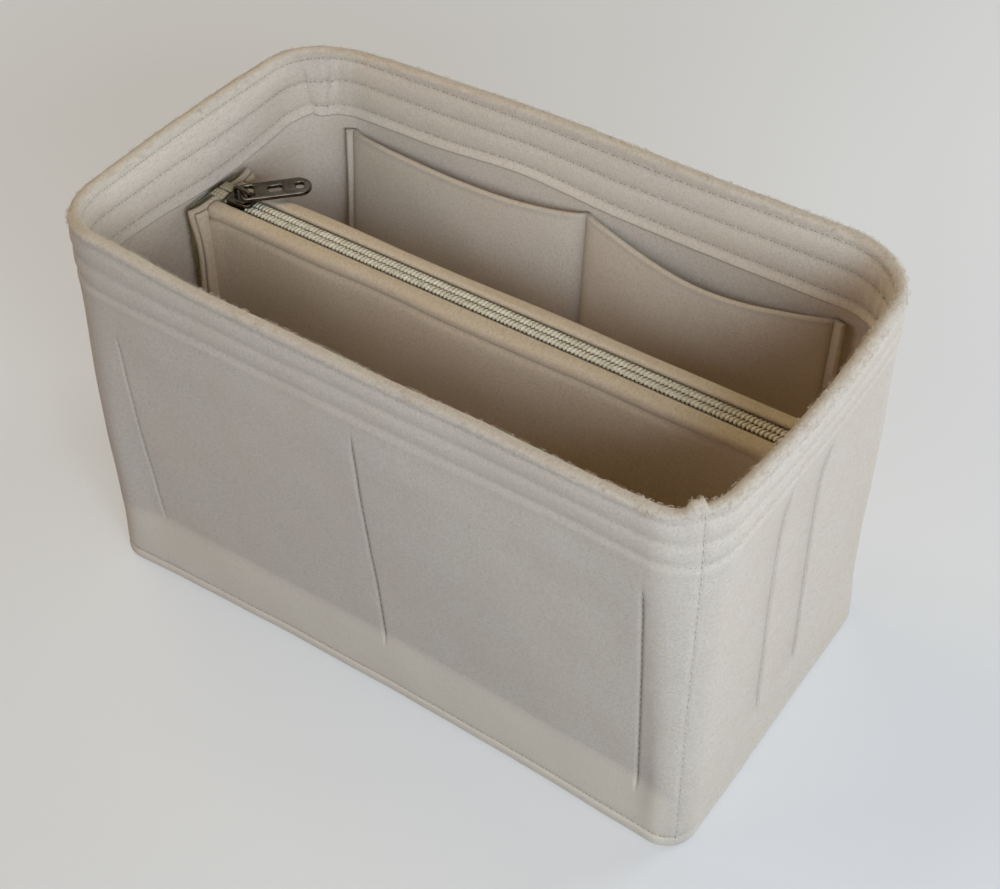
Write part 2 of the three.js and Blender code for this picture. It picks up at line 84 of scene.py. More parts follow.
def smoothStep(low, high, value):
    share = np.clip((value - low) / (high - low), 0, 1)
    return share * share * (3 - 2 * share)


def ridge(distance, width):
    return np.exp(-(distance / width) ** 2)


def unevenness(first, second, size, seed):
    # slow swells between about -1 and 1, roughly size across
    source = np.random.default_rng(seed)
    total = 0
    for swell in range(6):
        start, heading = source.uniform(0, 2 * math.pi, 2)
        pace = 2 * math.pi / (size * source.uniform(0.7, 1.7))
        total = total + np.sin(pace * (first * math.cos(heading) + second * math.sin(heading)) + start)
    return total / 3.5


def stations(low, high, step, fine=(), offsets=(0.0, 0.3, 0.7, 1.3, 2.1)):
    # even places from low to high, closer together round each fine place
    even = np.linspace(low, high, max(2, int(round((high - low) / step)) + 1))
    close = [place + sign * gap for place in fine for gap in offsets for sign in (-1, 1)]
    places = np.unique(np.concatenate([even, [p for p in close if low < p < high]]))
    kept = [places[0]]
    for place in places[1:-1]:
        if place - kept[-1] > 0.16 and places[-1] - place > 0.16:
            kept.append(place)
    return np.array(kept + [places[-1]])


def putIn(name, data):
    piece = bpy.data.objects.new(name, data)
    bpy.context.scene.collection.objects.link(piece)
    return piece


def asMesh(holder, name):
    # the finished shape of an object with modifiers, as a plain mesh
    mesh = bpy.data.meshes.new_from_object(holder.evaluated_get(bpy.context.evaluated_depsgraph_get()))
    mesh.name = name
    bpy.data.objects.remove(holder)
    return mesh


def makePiece(name, points, faces, material):
    mesh = bpy.data.meshes.new(name)
    mesh.from_pydata((np.asarray(points, float).reshape(-1, 3) * mm).tolist(), [], faces)
    mesh.polygons.foreach_set("use_smooth", [True] * len(mesh.polygons))
    mesh.materials.append(material)
    return putIn(name, mesh)


def tint(piece, shade, label="seamShade"):
    # a share from 0 to 1 for each point, such as how much painted shade it gets along a seam, crease or fold
    values = piece.data.attributes.new(label, "FLOAT", "POINT")
    values.data.foreach_set("value", np.asarray(shade, float).ravel())


def settle(piece, body, slot, *nodes):
    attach(piece, body)
    if nodes:
        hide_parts(*nodes)
    return piece


def gridFaces(rows, columns, closeRows=False, closeColumns=False):
    faces = []
    for row in range(rows if closeRows else rows - 1):
        for column in range(columns if closeColumns else columns - 1):
            nextRow, nextColumn = (row + 1) % rows, (column + 1) % columns
            faces.append((row * columns + column, row * columns + nextColumn,
                          nextRow * columns + nextColumn, nextRow * columns + column))
    return faces


def edgeStations(low, high, step, roll, fine=()):
    # places across a felt sheet, with a few on the rolled edge at each end
    turn = [roll * (1 - math.cos(math.radians(a))) for a in (0, 25, 50, 72)]
    inner = stations(low + roll, high - roll, step, fine)
    return np.concatenate([[low + t for t in turn], inner, [high - t for t in reversed(turn)]])


def edgeRoll(places, roll):
    gap = np.minimum(np.abs(places - places[0]), np.abs(places[-1] - places))
    return np.sqrt(np.clip(1 - (1 - np.clip(gap / roll, 0, 1)) ** 2, 0, 1))


def boxGrid(node, axes, steps, thickness):
    # places along two axes of a node's box, the grid they make and the middle of the box
    low, high = nodeBox(node)
    places = [edgeStations(low[k], high[k], step, thickness / 2) for k, step in zip(axes, steps)]
    return places, np.meshgrid(*places, indexing="ij"), (low + high) / 2


def feltSheet(name, centre, thickness, places, material, shade=None):
    # closed sheet round a grid of middle points: two skins that meet on the rolled edge
    rolls = [edgeRoll(row, thickness / 2) for row in places]
    across, along = np.gradient(centre, axis=0), np.gradient(centre, axis=1)
    out = np.cross(across, along)
    out /= np.linalg.norm(out, axis=2, keepdims=True) + 1e-9
    half = thickness / 2 * np.minimum(rolls[0][:, None], rolls[1][None, :])
    upper = centre + out * half[..., None]
    lower = (centre - out * half[..., None])[1:-1, 1:-1]
    rows, columns = centre.shape[:2]
    count = rows * columns
    under = np.arange(count).reshape(rows, columns)
    under[1:-1, 1:-1] = count + np.arange((rows - 2) * (columns - 2)).reshape(rows - 2, columns - 2)
    faces = []
    for row in range(rows - 1):
        for column in range(columns - 1):
            top = row * columns + column
            faces.append((top, top + columns, top + columns + 1, top + 1))
            faces.append((under[row, column], under[row, column + 1],
                          under[row + 1, column + 1], under[row + 1, column]))
    piece = makePiece(name, np.concatenate([upper.reshape(-1, 3), lower.reshape(-1, 3)]),
                      [tuple(int(i) for i in face) for face in faces], material)
    if shade is not None:
        tint(piece, np.concatenate([shade.ravel(), shade[1:-1, 1:-1].ravel()]))
    return piece


# Materials

def blankMaterial(name):
    material = bpy.data.materials.new(name)
    material.use_nodes = True
    tree = material.node_tree
    place = addNode(tree, "ShaderNodeTexCoord").outputs["Object"]
    return material, tree, tree.nodes["Principled BSDF"], place


def pressedFelt(name, settings):
    # needle-punched polyester felt: matt, fibres lying every way, faint cloudy tone, pale fuzz at the rim
    material, tree, shader, place = blankMaterial(name)
    cloud = addNode(tree, "ShaderNodeTexNoise", {
        "Vector": place, "Scale": 1 / (settings["cloud"] * mm), "Detail": 3.0})
    # single fibres are near 0.03 mm, tufts of them are drawn instead
    tuft = addNode(tree, "ShaderNodeTexNoise", {
        "Vector": place, "Scale": 1 / (settings["tuft"] * mm),
        "Detail": 5.0, "Roughness": 0.7, "Distortion": 0.4})
    strands = []
    for turn in ((0.5, 0.2, 0.7), (1.1, 0.9, -0.5)):
        lay = addNode(tree, "ShaderNodeMapping", {
            "Vector": place, "Rotation": turn, "Scale": (1.0, 0.16, 1.0)})
        strands.append(addNode(tree, "ShaderNodeTexNoise", {
            "Vector": lay, "Scale": 1 / (settings["strand"] * mm), "Detail": 2.0, "Distortion": 1.2}))
    strand = addNode(tree, "ShaderNodeMath", {0: strands[0], 1: strands[1]}, operation="MAXIMUM")
    blend = addNode(tree, "ShaderNodeMath", {0: tuft, 1: 0.55, 2: 0.0}, operation="MULTIPLY_ADD")
    blend = addNode(tree, "ShaderNodeMath", {0: strand, 1: 0.45, 2: blend}, operation="MULTIPLY_ADD")
    tone = addNode(tree, "ShaderNodeValToRGB", {"Fac": blend}, (
        (0.36, settings["deep"]), (0.7, settings["pale"]), (0.52, settings["body"])))
    cloudy = addNode(tree, "ShaderNodeMapRange", {
        "Value": cloud, "From Min": 0.35, "From Max": 0.7, "To Min": 0.0, "To Max": settings["cloudiness"]})
    # painted shade: a dark tone mixed in where seams, creases, folds and the hem's edge lie in shade; then
    # the band's painted paleness and yellower tone
    paintedShade, band = (addNode(tree, "ShaderNodeAttribute", attribute_name=label).outputs["Fac"]
                  for label in ("seamShade", "bandLightAndTone"))
    seamShare = addNode(tree, "ShaderNodeMath", {0: paintedShade, 1: settings["seamDark"]}, operation="MULTIPLY")
    colour = tone.outputs["Color"]
    for share, layer in ((cloudy, "warm"), (seamShare, "paintedShade"), (band, "band")):
        mixed = addNode(tree, "ShaderNodeMix", {0: share, 6: colour, 7: hexLinear(settings[layer])},
                        data_type="RGBA")
        colour = mixed.outputs[2]
    lift = addNode(tree, "ShaderNodeBump", {
        "Height": blend, "Strength": 0.75, "Distance": settings["nap"] * mm})
    lift = addNode(tree, "ShaderNodeBump", {
        "Height": cloud, "Strength": 0.5, "Distance": 0.5 * mm, "Normal": lift})
    rough = addNode(tree, "ShaderNodeMapRange", {"Value": tuft, "To Min": 0.82, "To Max": 1.0})
    feed(tree, shader, {
        "Base Color": colour, "Normal": lift, "Roughness": rough, "Specular IOR Level": 0.18,
        "Sheen Weight": settings["fuzz"], "Sheen Roughness": 0.55, "Sheen Tint": hexLinear("#FFF6E6")})
    return material


# the seam colour is painted shade; the band colour is painted light and a yellower tone
feltLook = {
    "deep": "#C4B4A0", "body": "#DCCDB9", "pale": "#E8DDCF", "warm": "#D9C6AC", "paintedShade": "#6E6052",
    "band": "#F6E6CB", "cloud": 22.0, "cloudiness": 0.3, "tuft": 0.9, "strand": 0.6, "nap": 0.14,
    "seamDark": 0.7, "fuzz": 0.2,
}
wallFelt = pressedFelt("pressedFeltWall", feltLook)
# painted light: a paler copy of the wall felt, so the pockets and the base inside the tray are drawn brighter
pocketFeltPaintedLight = pressedFelt("pressedFeltPocketPaintedLight", {
    **feltLook, "deep": "#CBB9A3", "body": "#E3D3BE", "pale": "#EDE3D4"})
# painted shade: a darker, warmer copy of the wall felt for the pouch down in the tray
pouchFeltPaintedShade = pressedFelt("pressedFeltPouchPaintedShade", {
    **feltLook, "deep": "#C0AB90", "body": "#DAC6AB", "pale": "#E6D7C1", "warm": "#D5BD9B"})


def sewingThread():
    # spun polyester thread: two-ply twist shows as slanting light and dark along each stitch
    material, tree, shader, place = blankMaterial("spunPolyesterThread")
    twist = addNode(tree, "ShaderNodeTexWave", {
        "Vector": place, "Scale": 1 / (0.55 * mm) / (2 * math.pi), "Distortion": 1.0},
        wave_type="BANDS", bands_direction="DIAGONAL").outputs["Fac"]
    tone = addNode(tree, "ShaderNodeValToRGB", {"Fac": twist}, ((0.0, "#B9AB95"), (1.0, "#D8CBB6")))
    lift = addNode(tree, "ShaderNodeBump", {"Height": twist, "Strength": 0.5, "Distance": 0.08 * mm})
    feed(tree, shader, {"Base Color": tone, "Normal": lift, "Roughness": 0.7, "Sheen Weight": 0.2})
    return material


def needleHoleShadow():
    # painted shadow: dark discs where the felt is pulled down into a needle hole and lies in its own shade
    material, tree, shader, place = blankMaterial("paintedNeedleHoleShadow")
    speck = addNode(tree, "ShaderNodeTexNoise", {"Vector": place, "Scale": 1 / (0.6 * mm), "Detail": 2.0})
    tone = addNode(tree, "ShaderNodeValToRGB", {"Fac": speck}, ((0.0, "#857460"), (1.0, "#AA9983")))
    feed(tree, shader, {"Base Color": tone, "Roughness": 1.0, "Specular IOR Level": 0.05})
    return material


def wovenTape():
    # woven polyester zip tape: close ribs across and fine warp lines along, faint gloss
    material, tree, shader, place = blankMaterial("wovenPolyesterTape")
    # yarns are near 0.3 mm, drawn wider to show
    weft, warp = (addNode(tree, "ShaderNodeTexWave", {
        "Vector": place, "Scale": 1 / (wide * mm) / (2 * math.pi), "Distortion": 0.4},
        wave_type="BANDS", bands_direction=way).outputs["Fac"] for wide, way in ((0.7, "X"), (0.8, "Y")))
    weave = addNode(tree, "ShaderNodeMath", {0: weft, 1: warp}, operation="MULTIPLY")
    wear = addNode(tree, "ShaderNodeTexNoise", {"Vector": place, "Scale": 1 / (6 * mm), "Detail": 3.0})
    mixed = addNode(tree, "ShaderNodeMath", {0: wear, 1: 0.4, 2: weave}, operation="MULTIPLY_ADD")
    tone = addNode(tree, "ShaderNodeValToRGB", {"Fac": mixed}, ((0.0, "#A3946F"), (1.0, "#D3C7A6")))
    lift = addNode(tree, "ShaderNodeBump", {"Height": weave, "Strength": 0.6, "Distance": 0.12 * mm})
    feed(tree, shader, {"Base Color": tone, "Normal": lift, "Roughness": 0.75, "Sheen Weight": 0.15})
    return material


def nylonCoil():
    # drawn nylon filament, dyed: satin, tone drifting along the coil
    material, tree, shader, place = blankMaterial("nylonFilament")
    drift = addNode(tree, "ShaderNodeTexNoise", {"Vector": place, "Scale": 1 / (2.4 * mm), "Detail": 3.0})
    tone = addNode(tree, "ShaderNodeValToRGB", {"Fac": drift}, ((0.3, "#D0C4A8"), (0.7, "#EFE6D0")))
    rough = addNode(tree, "ShaderNodeMapRange", {"Value": drift, "To Min": 0.38, "To Max": 0.58})
    feed(tree, shader, {"Base Color": tone, "Roughness": rough, "IOR": 1.53})
    return material


def blackNickel():
    # black nickel plate on cast zinc: dark mirror with fine handling scratches, worn paler in patches
    material, tree, shader, place = blankMaterial("blackNickelPlate")
    wear = addNode(tree, "ShaderNodeTexNoise", {"Vector": place, "Scale": 1 / (3.5 * mm), "Detail": 4.0})
    tone = addNode(tree, "ShaderNodeValToRGB", {"Fac": wear}, ((0.35, "#4B4740"), (0.75, "#6E685D")))
    lay = addNode(tree, "ShaderNodeMapping", {
        "Vector": place, "Rotation": (0.2, 0.1, 0.6), "Scale": (1.0, 0.08, 1.0)})
    scratch = addNode(tree, "ShaderNodeTexNoise", {"Vector": lay, "Scale": 1 / (0.5 * mm), "Detail": 2.0})
    rough = addNode(tree, "ShaderNodeMapRange", {
        "Value": scratch, "From Min": 0.3, "From Max": 0.75, "To Min": 0.12, "To Max": 0.28})
    lift = addNode(tree, "ShaderNodeBump", {"Height": scratch, "Strength": 0.06, "Distance": 0.03 * mm})
    feed(tree, shader, {"Base Color": tone, "Normal": lift, "Roughness": rough, "Metallic": 1.0})
    return material


def stripPile():
    # knitted nylon pile of the hook-and-loop strips: olive, loops catch small lights
    material, tree, shader, place = blankMaterial("nylonPile")
    tangle = addNode(tree, "ShaderNodeTexNoise", {
        "Vector": place, "Scale": 1 / (0.9 * mm), "Detail": 4.0, "Roughness": 0.7})
    tone = addNode(tree, "ShaderNodeValToRGB", {"Fac": tangle}, ((0.3, "#9C8D62"), (0.75, "#D6CA9F")))
    lift = addNode(tree, "ShaderNodeBump", {"Height": tangle, "Strength": 0.8, "Distance": 0.35 * mm})
    feed(tree, shader, {"Base Color": tone, "Normal": lift, "Roughness": 0.6, "Sheen Weight": 0.3})
    return material


threadLook, holeShadowLook, tapeLook = sewingThread(), needleHoleShadow(), wovenTape()
coilLook, metalLook, pileLook = nylonCoil(), blackNickel(), stripPile()
print("materials made")


# Stitches are gathered while the pieces are shaped, then set out by Geometry Nodes
stitches = {"shell": [], "pouch": []}
sewing = {"pitch": 4.3, "length": 2.9, "thread": 0.26, "rise": 0.45, "sink": 0.25, "hole": 0.36}


def sew(body, points, outs, pitch=None, holes=True):
    # outs is one outward direction, or one for each point
    points = np.asarray(points, float)
    outs = np.broadcast_to(np.asarray(outs, float), points.shape)
    run = np.concatenate([[0], np.cumsum(np.linalg.norm(np.diff(points, axis=0), axis=1))])
    count = max(1, int(run[-1] / (pitch or sewing["pitch"])))
    middle = (np.arange(count) + 0.5) * run[-1] / count
    pick = lambda places, rows: np.stack([np.interp(places, run, rows[:, k]) for k in range(3)], 1)
    heading = pick(np.minimum(middle + 0.8, run[-1]), points) - pick(np.maximum(middle - 0.8, 0), points)
    heading /= np.linalg.norm(heading, axis=1, keepdims=True)
    out = pick(middle, outs)
    out /= np.linalg.norm(out, axis=1, keepdims=True)
    stitches[body].append((holes, np.concatenate([pick(middle, points), heading, out], 1)))


# Outer wall: one felt strip round four sides, seamed at one corner, its top folded in as a hem
wall = {
    "length": 260.0, "baseWidth": 140.0, "rimWidth": 151.0, "felt": 2.5,
    "baseRadius": 12.0, "rimRadius": 29.0, "seamRadius": 19.0, "seamAt": 128.0,
    "hemEdge": 141.5, "leftHemDrop": 4.5, "hemSag": 4.5, "backHemDrop": (6.0, 4.0),
    "hemRows": (161.2, 153.4, 144.8), "backRimWave": (2.0, 1.8),
    "rowDepth": 0.3, "rowWidth": 0.8, "valley": 0.65, "valleyWidth": 2.7, "puff": 0.4, "hemFlare": 1.2,
    "pocketZone": (32.0, 130.0), "pocketPull": (2.6, 0.5), "creaseDepth": 0.8, "creaseStep": 0.15,
    "frontSeams": (-100.6, 3.4, 111.0), "frontSlant": 0.005, "backSeams": (101.0, 0.0, -108.5),
    "stripLines": (-20.0, 7.0), "stripZone": (26.0, 134.0), "pleatDepth": 0.8, "pleatWidth": 8.0,
    "footRow": (4.6, 5.4), "footBow": (3.0, 1.5), "bowHeight": 95.0, "rimBow": (3.5, 1.4), "bowStart": 115.0,
    "rimWave": (3.8, 2.0), "sway": 0.7, "bandLightAndTone": 0.5, "pleat": 1.1, "pleatColumns": (0.157, 0.287),
    "columnStep": 1.9, "rowStep": 2.8, "creaseWidth": 0.45, "creaseLip": 0.12, "cornerWrinkle": 0.3,
    # corner seam: place, width and height of its two ridges and the groove between
    "seamRidges": ((-2.2, 2.0, 0.45), (2.4, 2.2, 0.3), (0.0, 0.6, -0.4)), "seamBlock": (2.4, 0.4),
    # how far from the ends of its zone a seam fades in and out
    "creaseEnds": (-3, 3, -10, 1), "middleEnds": (-7, -3, -3, 7), "rightEnds": (-8, -4, -6, 3),
    "stripEnds": (0, 8, -6, 8),
}
# how much painted shade each seam, fold and edge gets
wallShade = {"strip": 0.26, "cornerSeam": 0.15, "hemRow": (0.05, 0.2), "foot": 0.35, "rim": 0.16,
             "underHem": 0.7}
halfLength, height = wall["length"] / 2, nodeBox("outer_wall")[1][2]


def ringSpan(z, seamed=False):
    # corner radius, straight halves and quarter length of the wall's ring; the seamed corner is tighter
    share = np.asarray(z, float) / height
    rim = wall["seamRadius"] if seamed else wall["rimRadius"]
    radius = wall["baseRadius"] + (rim - wall["baseRadius"]) * share
    halfWidth = (wall["baseWidth"] + (wall["rimWidth"] - wall["baseWidth"]) * share) / 2
    flatX, flatY = halfLength - radius, halfWidth - radius
    return radius, flatX, flatY, flatX + flatY + radius * math.pi / 2


def ringLength(z):
    return ringSpan(z, True)[3] + 3 * ringSpan(z)[3]


def wallBase(along, z, inset):
    # along runs round the wall from the middle of the front, towards the right
    plain, seamed = ringSpan(z), ringSpan(z, True)
    quarter = plain[3]
    around = np.mod(along, ringLength(z))
    past = around - seamed[3]
    radius, flatX, flatY = (np.where(past < 0, tight, wide) for tight, wide in zip(seamed[:3], plain[:3]))
    run = np.select([past < 0, past < quarter, past < 2 * quarter],
                    [around, quarter - past, past - quarter], 3 * quarter - past)
    side = np.where(past < quarter, 1.0, -1.0)
    back = np.where((past >= 0) & (past < 2 * quarter), 1.0, -1.0)
    angle = np.clip((run - flatX) / radius, 0, math.pi / 2)
    x = np.minimum(run, flatX) + (radius - inset) * np.sin(angle)
    y = flatY + (radius - inset) * np.cos(angle) - np.maximum(run - flatX - radius * math.pi / 2, 0)
    return side * x, back * y, side * np.sin(angle), back * np.cos(angle)


def longAlong(x, z, side):
    # the place round the wall of a point on the front (-1) or back (1) wall
    plain, seamed = ringSpan(z), ringSpan(z, True)
    tight = (np.asarray(x) > 0) & (side < 0)
    radius, flatX = np.where(tight, seamed[0], plain[0]), np.where(tight, seamed[1], plain[1])
    past = np.clip((np.abs(x) - flatX) / radius, 0, 1)
    run = np.sign(x) * (np.minimum(np.abs(x), flatX) + radius * np.arcsin(past))
    return ringLength(z) + run if side < 0 else seamed[3] + plain[3] - run


def wallLines(z):
    # where the upright seams run, in order round the wall from the corner seam
    z = np.asarray(z, float)
    first, quarter = ringSpan(z, True)[3], ringSpan(z)[3]
    low, high = wall["stripLines"]
    frontLeft, frontMiddle, frontRight = wall["frontSeams"]
    slant = frontMiddle + (wall["pocketZone"][1] - z) * wall["frontSlant"]
    return np.stack([wall["seamAt"] + 0 * z, first + low, first + high,
                     *[longAlong(x, z, 1) for x in wall["backSeams"]],
                     first + 2 * quarter - high, first + 2 * quarter - low,
                     longAlong(frontLeft, z, -1), ringLength(z) + slant, longAlong(frontRight, z, -1)], -1)


def footRow(x):
    left, right = wall["footRow"]
    return left + (right - left) * (x + halfLength) / (2 * halfLength)


def inZone(span, ends, z):
    # 1 along a zone, fading out near both its ends
    low, high = span
    return smoothStep(low + ends[0], low + ends[1], z) * (1 - smoothStep(high + ends[2], high + ends[3], z))


def wallSkin(along, z, inset):
    # places, outward direction and seam darkness for points on the wall's faces
    x, y, outX, outY = wallBase(along, z, inset)
    gap = along[..., None] - wallLines(z)
    around = ringLength(z)
    seamGap = np.where(gap[..., 0] > around / 2, gap[..., 0] - around, gap[..., 0])
    face = np.clip(1 - inset / wall["felt"], -1, 1)
    outer, inside = np.clip(face, 0, 1), inset > 1.5 * wall["felt"]
    front, back = np.clip(-outY, 0, 1), np.clip(outY, 0, 1)
    right, left = np.clip(outX, 0, 1), np.clip(-outX, 0, 1)
    push, shade = np.zeros_like(x), np.zeros_like(x)
    edge = wall["hemEdge"]
    # slack of the whole strip: its foot curves in, its rim out
    foot = np.clip(1 - (x / (halfLength - wall["baseRadius"])) ** 2, 0, 1)
    foot = foot * (1 - smoothStep(0, wall["bowHeight"], z))
    push -= (wall["footBow"][0] * front + wall["footBow"][1] * back) * foot
    rim = smoothStep(wall["bowStart"], height, z) * np.cos(math.pi * y / wall["rimWidth"])
    push += (wall["rimBow"][0] * right ** 2 + wall["rimBow"][1] * left ** 2) * rim
    push += wall["sway"] * unevenness(x + 0.7 * y, z, 70, 3) * smoothStep(0, 25, z)
    push += 0.12 * unevenness(x - 0.8 * y, 1.3 * z, 34, 5)
    # pocket seams draw the long walls in, most at the lower edge; the left side of a crease stands proud
    low, high = wall["pocketZone"]
    deep, shallow = wall["pocketPull"]
    pull = shallow + (deep - shallow) * np.clip((high - z) / (high - low), 0, 1) ** 1.5
    pull = pull * (1 - smoothStep(high - 16, high, z))
    pull = np.where(z < low, deep * np.clip((z - 5) / (low - 5), 0, 1), pull)
    upright = inZone(wall["pocketZone"], wall["creaseEnds"], z)
    # two creases of the front run on a little at both ends
    longer = {9: inZone(wall["pocketZone"], wall["middleEnds"], z),
              10: inZone(wall["pocketZone"], wall["rightEnds"], z)}
    for first, middle, last in ((8, 9, 10), (3, 4, 5)):
        climb = smoothStep(-16.0, -0.8, gap[..., first])
        lip = wall["creaseLip"] * upright * (smoothStep(-0.8, 0.3, gap[..., first]) - climb)
        push -= pull * (climb + lip) * (1 - smoothStep(-0.4, 13.0, gap[..., last]))
        for line, fall, dark in ((first, 9, 0.5), (middle, 12, 1.0), (last, 7, 1.0)):
            side = gap[..., line]
            crease = np.exp(-np.abs(side) / wall["creaseWidth"])
            step = smoothStep(-0.8, 0.3, side) * np.exp(-np.maximum(side, 0) / fall)
            length = longer.get(line, upright)
            depth = wall["creaseDepth"] * (0.4 + 0.6 * dark) * crease + wall["creaseStep"] * step
            push -= depth * length * outer
            # painted shade along each crease
            shade = np.maximum(shade, dark * crease * length)
    # strip seams on the end walls: the felt dips in front of each and steps up behind it, with painted shade
    # in the dip
    upright = inZone(wall["stripZone"], wall["stripEnds"], z)
    for line, share in ((1, 1.0), (2, 1.0), (6, 0.6), (7, 0.6)):
        side = gap[..., line]
        dip = (1 - smoothStep(-0.4, 0.4, side)) * np.exp(np.minimum(side, 0) / wall["pleatWidth"])
        push -= wall["pleatDepth"] * share * dip * upright * outer
        shade = np.maximum(shade, wallShade["strip"] * dip * upright * outer)
    # corner seam: two low ridges of seam allowance, puckered, with painted shade in the groove between
    seamFade = smoothStep(3, 14, z)
    pucker = 0.15 * np.sin(2 * math.pi * z / 8.6) + 0.12 * np.sin(2 * math.pi * z / 21 + 1)
    push += seamFade * sum(tall * ridge(seamGap - at, wide) for at, wide, tall in wall["seamRidges"])
    push += seamFade * pucker * (ridge(seamGap - 2.6, 2) - ridge(seamGap + 2.6, 2))
    shade = np.maximum(shade, wallShade["cornerSeam"] * ridge(seamGap, 0.5) * seamFade)
    # hem rows and the puffs between them, with painted shade along each row
    surface = wall["puff"] * smoothStep(edge - 3, edge + 1.5, z)
    rowShade = np.where(face > 0.9, *wallShade["hemRow"]) * (np.abs(face) > 0.9)
    for row in wall["hemRows"]:
        line = z - row - 0.35 * unevenness(x + y, 0 * x, 60, 8)
        surface = surface - wall["rowDepth"] * (1 - 0.8 * outer) * ridge(line, wall["rowWidth"])
        surface = surface - wall["valley"] * ridge(line, wall["valleyWidth"])
        shade = np.maximum(shade, rowShade * ridge(line, 0.8))
    # hem wrinkles on the inside of the corners
    corner = ridge(np.abs(outX) - 0.62, 0.35) * ridge(np.abs(outY) - 0.75, 0.35) * inside * (z < 160)
    wrinkle = np.sin(2 * math.pi * (along + 0.12 * (z - 150)) / 6.5)
    surface = surface + wall["cornerWrinkle"] * corner * wrinkle
    # spare felt in the far left corner lies in a box pleat
    bend = (np.arctan2(outX, outY) + 0.25 * math.pi) * (wall["rimRadius"] - inset)
    reach = 3.4 + 0.16 * (z - edge)
    fold = smoothStep(-reach - 0.7, -reach + 0.7, bend) * (1 - smoothStep(reach - 0.7, reach + 0.7, bend))
    surface = surface + inside * wall["pleat"] * fold * (1 - smoothStep(157, 162, z))
    # the hem's free edge stands off a little
    surface = surface + inside * wall["hemFlare"] * (1 - smoothStep(edge, edge + 3.2, z))
    # the foot row's groove, with painted shade along it
    footLine, calm = z - footRow(x), (inset < 1) * (1 - 0.75 * outX ** 2)
    surface = surface - (0.6 * ridge(footLine, 0.8) + 0.3 * ridge(footLine, 2.5)) * calm
    shade = np.maximum(shade, wallShade["foot"] * ridge(footLine, 0.6) * calm)
    push = push + face * surface
    # end of the seam allowance stands above the rim, and the front rim rises and falls
    block = smoothStep(-6.2, -3.4, seamGap) * (1 - smoothStep(0.3, 1.6, seamGap))
    tall, thick = wall["seamBlock"]
    lift = (tall + thick * inset) * block + 0.7 * unevenness(x - y, 0 * x, 90, 11)
    crest, trough = wall["rimWave"]
    lift = lift + front ** 2 * (crest * ridge(x + 104, 30) - trough * ridge(x - 20, 34))
    lift = lift + tall * smoothStep(-1, 3, seamGap) * np.exp(-np.maximum(seamGap, 0) / 18)
    drop = (wall["leftHemDrop"] + wall["hemSag"] * ridge(y - 14, 34)) * smoothStep(0.3, 0.95, left)
    # at the back the hem reaches lower, least near the middle, and the rim rises and falls
    fall, spared = wall["backHemDrop"]
    drop = np.maximum(drop, (fall - spared * ridge(x + 28, 30)) * smoothStep(0.2, 0.75, back))
    drop = drop * inside * np.clip((height - 2.5 - z) / 21, 0, 1)
    crest, trough = wall["backRimWave"]
    wave = back ** 2 * (crest * ridge(x - 5, 60) - trough * ridge(x + 112, 22))
    level = z + lift * smoothStep(146, height, z) + wave * smoothStep(158, height, z) - drop
    # painted shade on the rim's fold, whose top faces the lamps, and a painted shadow line under the hem's
    # edge
    shade = np.maximum(shade, wallShade["rim"] * smoothStep(height - 3.5, height - 1.5, z))
    shade = np.maximum(shade, wallShade["underHem"] * (inset > 2.6) * (inset < 4.9) * (z < edge + 0.4))
    places = np.stack([x + outX * push, y + outY * push, level], -1)
    return places, np.stack([outX, outY, 0 * outX], -1), shade


def wallColumns():
    edges = wallLines(90.0)
    edges = np.append(edges, edges[0] + ringLength(90.0))
    index, share = [], []
    for span in range(len(edges) - 1):
        width = edges[span + 1] - edges[span]
        fine = (0, *(width * share for share in wall["pleatColumns"]), width) if span == 5 else (0, width)
        places = stations(0, width, wall["columnStep"], fine, (0.0, 0.35, 0.8, 1.4, 2.2))[:-1]
        index += [span] * len(places)
        share += list(places / width)
    return np.array(index), np.array(share)


def wallPlace(index, share, z):
    lines = wallLines(z)
    lines = np.concatenate([lines, lines[..., :1] + ringLength(z)[..., None]], -1)
    return lines[..., index] * (1 - share) + lines[..., index + 1] * share


